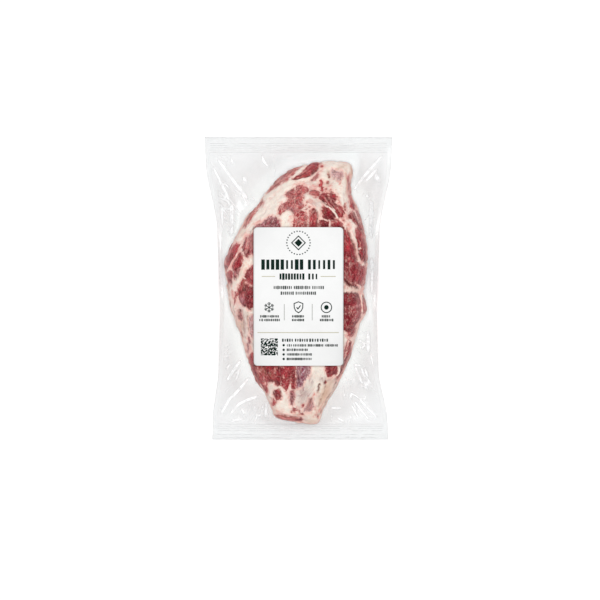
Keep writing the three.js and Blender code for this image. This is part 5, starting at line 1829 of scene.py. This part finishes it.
def ring_art():
    art = Artwork()
    art.ring(RING_X, SIGN_Y, 5.8, 1.05)
    art.disc(RING_X, SIGN_Y, 2.6)
    return art


def bullet_art():
    art = Artwork()
    for y in BULLET_ROWS:
        art.disc(BULLET_X, y, 1.35, 12)
    return art


def print_signs(ink):
    signs = {"print_crest": crest_art, "print_snowflake": snowflake_art, "print_shield": shield_art,
             "print_ring": ring_art, "print_bullets": bullet_art}
    return [art().finish(name, ink) for name, art in signs.items()]


def print_rules(ink, divider_ink):
    rules, dividers = Artwork(), Artwork()
    rules.bar(-33.4, 13, 15, 0.9)
    rules.bar(33, 13, 16.6, 0.9)
    rules.bar(-0.4, -49.5, 90.6, 0.9)
    for x in (-15.8, 15.3):
        dividers.bar(x, -26.7, 0.9, 18.2)
    return rules.finish("print_rules", ink), dividers.finish("print_dividers", divider_ink)


# Lights: (name, place, size, power, whether it shows in gloss). All are aimed at the pack.
LIGHTS = [
    ("overhead_softbox", (0.0, 0.0, 4.0), 0.7, 107, False),
    ("left_strip", (-1.5, 0.9, 2.6), 0.45, 7, True),
    ("right_strip", (1.6, 0.5, 2.6), 0.45, 7, True),
    ("front_strip", (0.3, -1.9, 2.6), 0.45, 3, True),
]
FRAME_SIDE = 0.6744
FRAME_CENTRE = (0.0017, -0.0132)
PACK_PLANE = 0.03
SENSOR = 36
FLOOR_HALF = 5000
SKY_COLOUR = (0.97, 0.98, 1.0, 1)
SKY_STRENGTH = 0.36


class LAMB_OT_stage(bpy.types.Operator):
    """Set up the floor, the lights and the camera"""

    bl_idname = "lamb.stage"
    bl_label = "Studio Stage"

    def execute(self, context):
        settings = context.scene.lamb_pack
        scene = context.scene
        corners = [(x * FLOOR_HALF, y * FLOOR_HALF, 0) for x, y in ((-1, -1), (1, -1), (1, 1), (-1, 1))]
        floor = mesh_object("studio_floor", corners, [(0, 1, 2, 3)], False)
        floor.data.materials.append(floor_material(settings.floor[:]))
        for name, place, size, power, glossy in LIGHTS:
            lamp = bpy.data.lights.new(name, "AREA")
            lamp.shape = "SQUARE"
            lamp.size = size
            lamp.energy = power
            made = shown(name, lamp)
            made.location = place
            made.visible_camera = False
            made.visible_glossy = glossy
            made.rotation_mode = "QUATERNION"
            made.rotation_quaternion = (-made.location.normalized()).to_track_quat("-Z", "Y")
        world = bpy.data.worlds.new("studio_light")
        world.use_nodes = True
        backdrop = world.node_tree.nodes["Background"]
        backdrop.inputs["Color"].default_value = SKY_COLOUR
        backdrop.inputs["Strength"].default_value = SKY_STRENGTH
        scene.world = world
        scene.view_settings.view_transform = "Standard"
        lens = bpy.data.cameras.new("overhead_camera")
        lens.sensor_width = SENSOR
        lens.lens = SENSOR * (settings.camera_height - PACK_PLANE) / FRAME_SIDE
        camera = shown("overhead_camera", lens)
        camera.location = (*FRAME_CENTRE, settings.camera_height)
        scene.camera = camera
        return {"FINISHED"}


class LAMB_PT_pack(bpy.types.Panel):
    """Lists the pack's pieces and its colours"""

    bl_idname = "LAMB_PT_pack"
    bl_label = "Lamb Pack"
    bl_space_type = "VIEW_3D"
    bl_region_type = "UI"
    bl_category = "Lamb Pack"

    def draw(self, context):
        for operator in OPERATORS:
            self.layout.operator(operator.bl_idname)
        for name in LambPackSettings.__annotations__:
            self.layout.prop(context.scene.lamb_pack, name)


OPERATORS = (LAMB_OT_leg, LAMB_OT_film, LAMB_OT_seals, LAMB_OT_label, LAMB_OT_print, LAMB_OT_stage)
CLASSES = (LambPackSettings, *OPERATORS, LAMB_PT_pack)


def register():
    for cls in CLASSES:
        bpy.utils.register_class(cls)
    bpy.types.Scene.lamb_pack = bpy.props.PointerProperty(type=LambPackSettings)


def unregister():
    del bpy.types.Scene.lamb_pack
    for cls in reversed(CLASSES):
        bpy.utils.unregister_class(cls)


def main():
    register()
    bpy.ops.lamb.leg()
    bpy.ops.lamb.film()
    bpy.ops.lamb.seals()
    bpy.ops.lamb.label()
    bpy.ops.lamb.label_print()
    bpy.ops.lamb.stage()


if __name__ == "__main__":
    main()
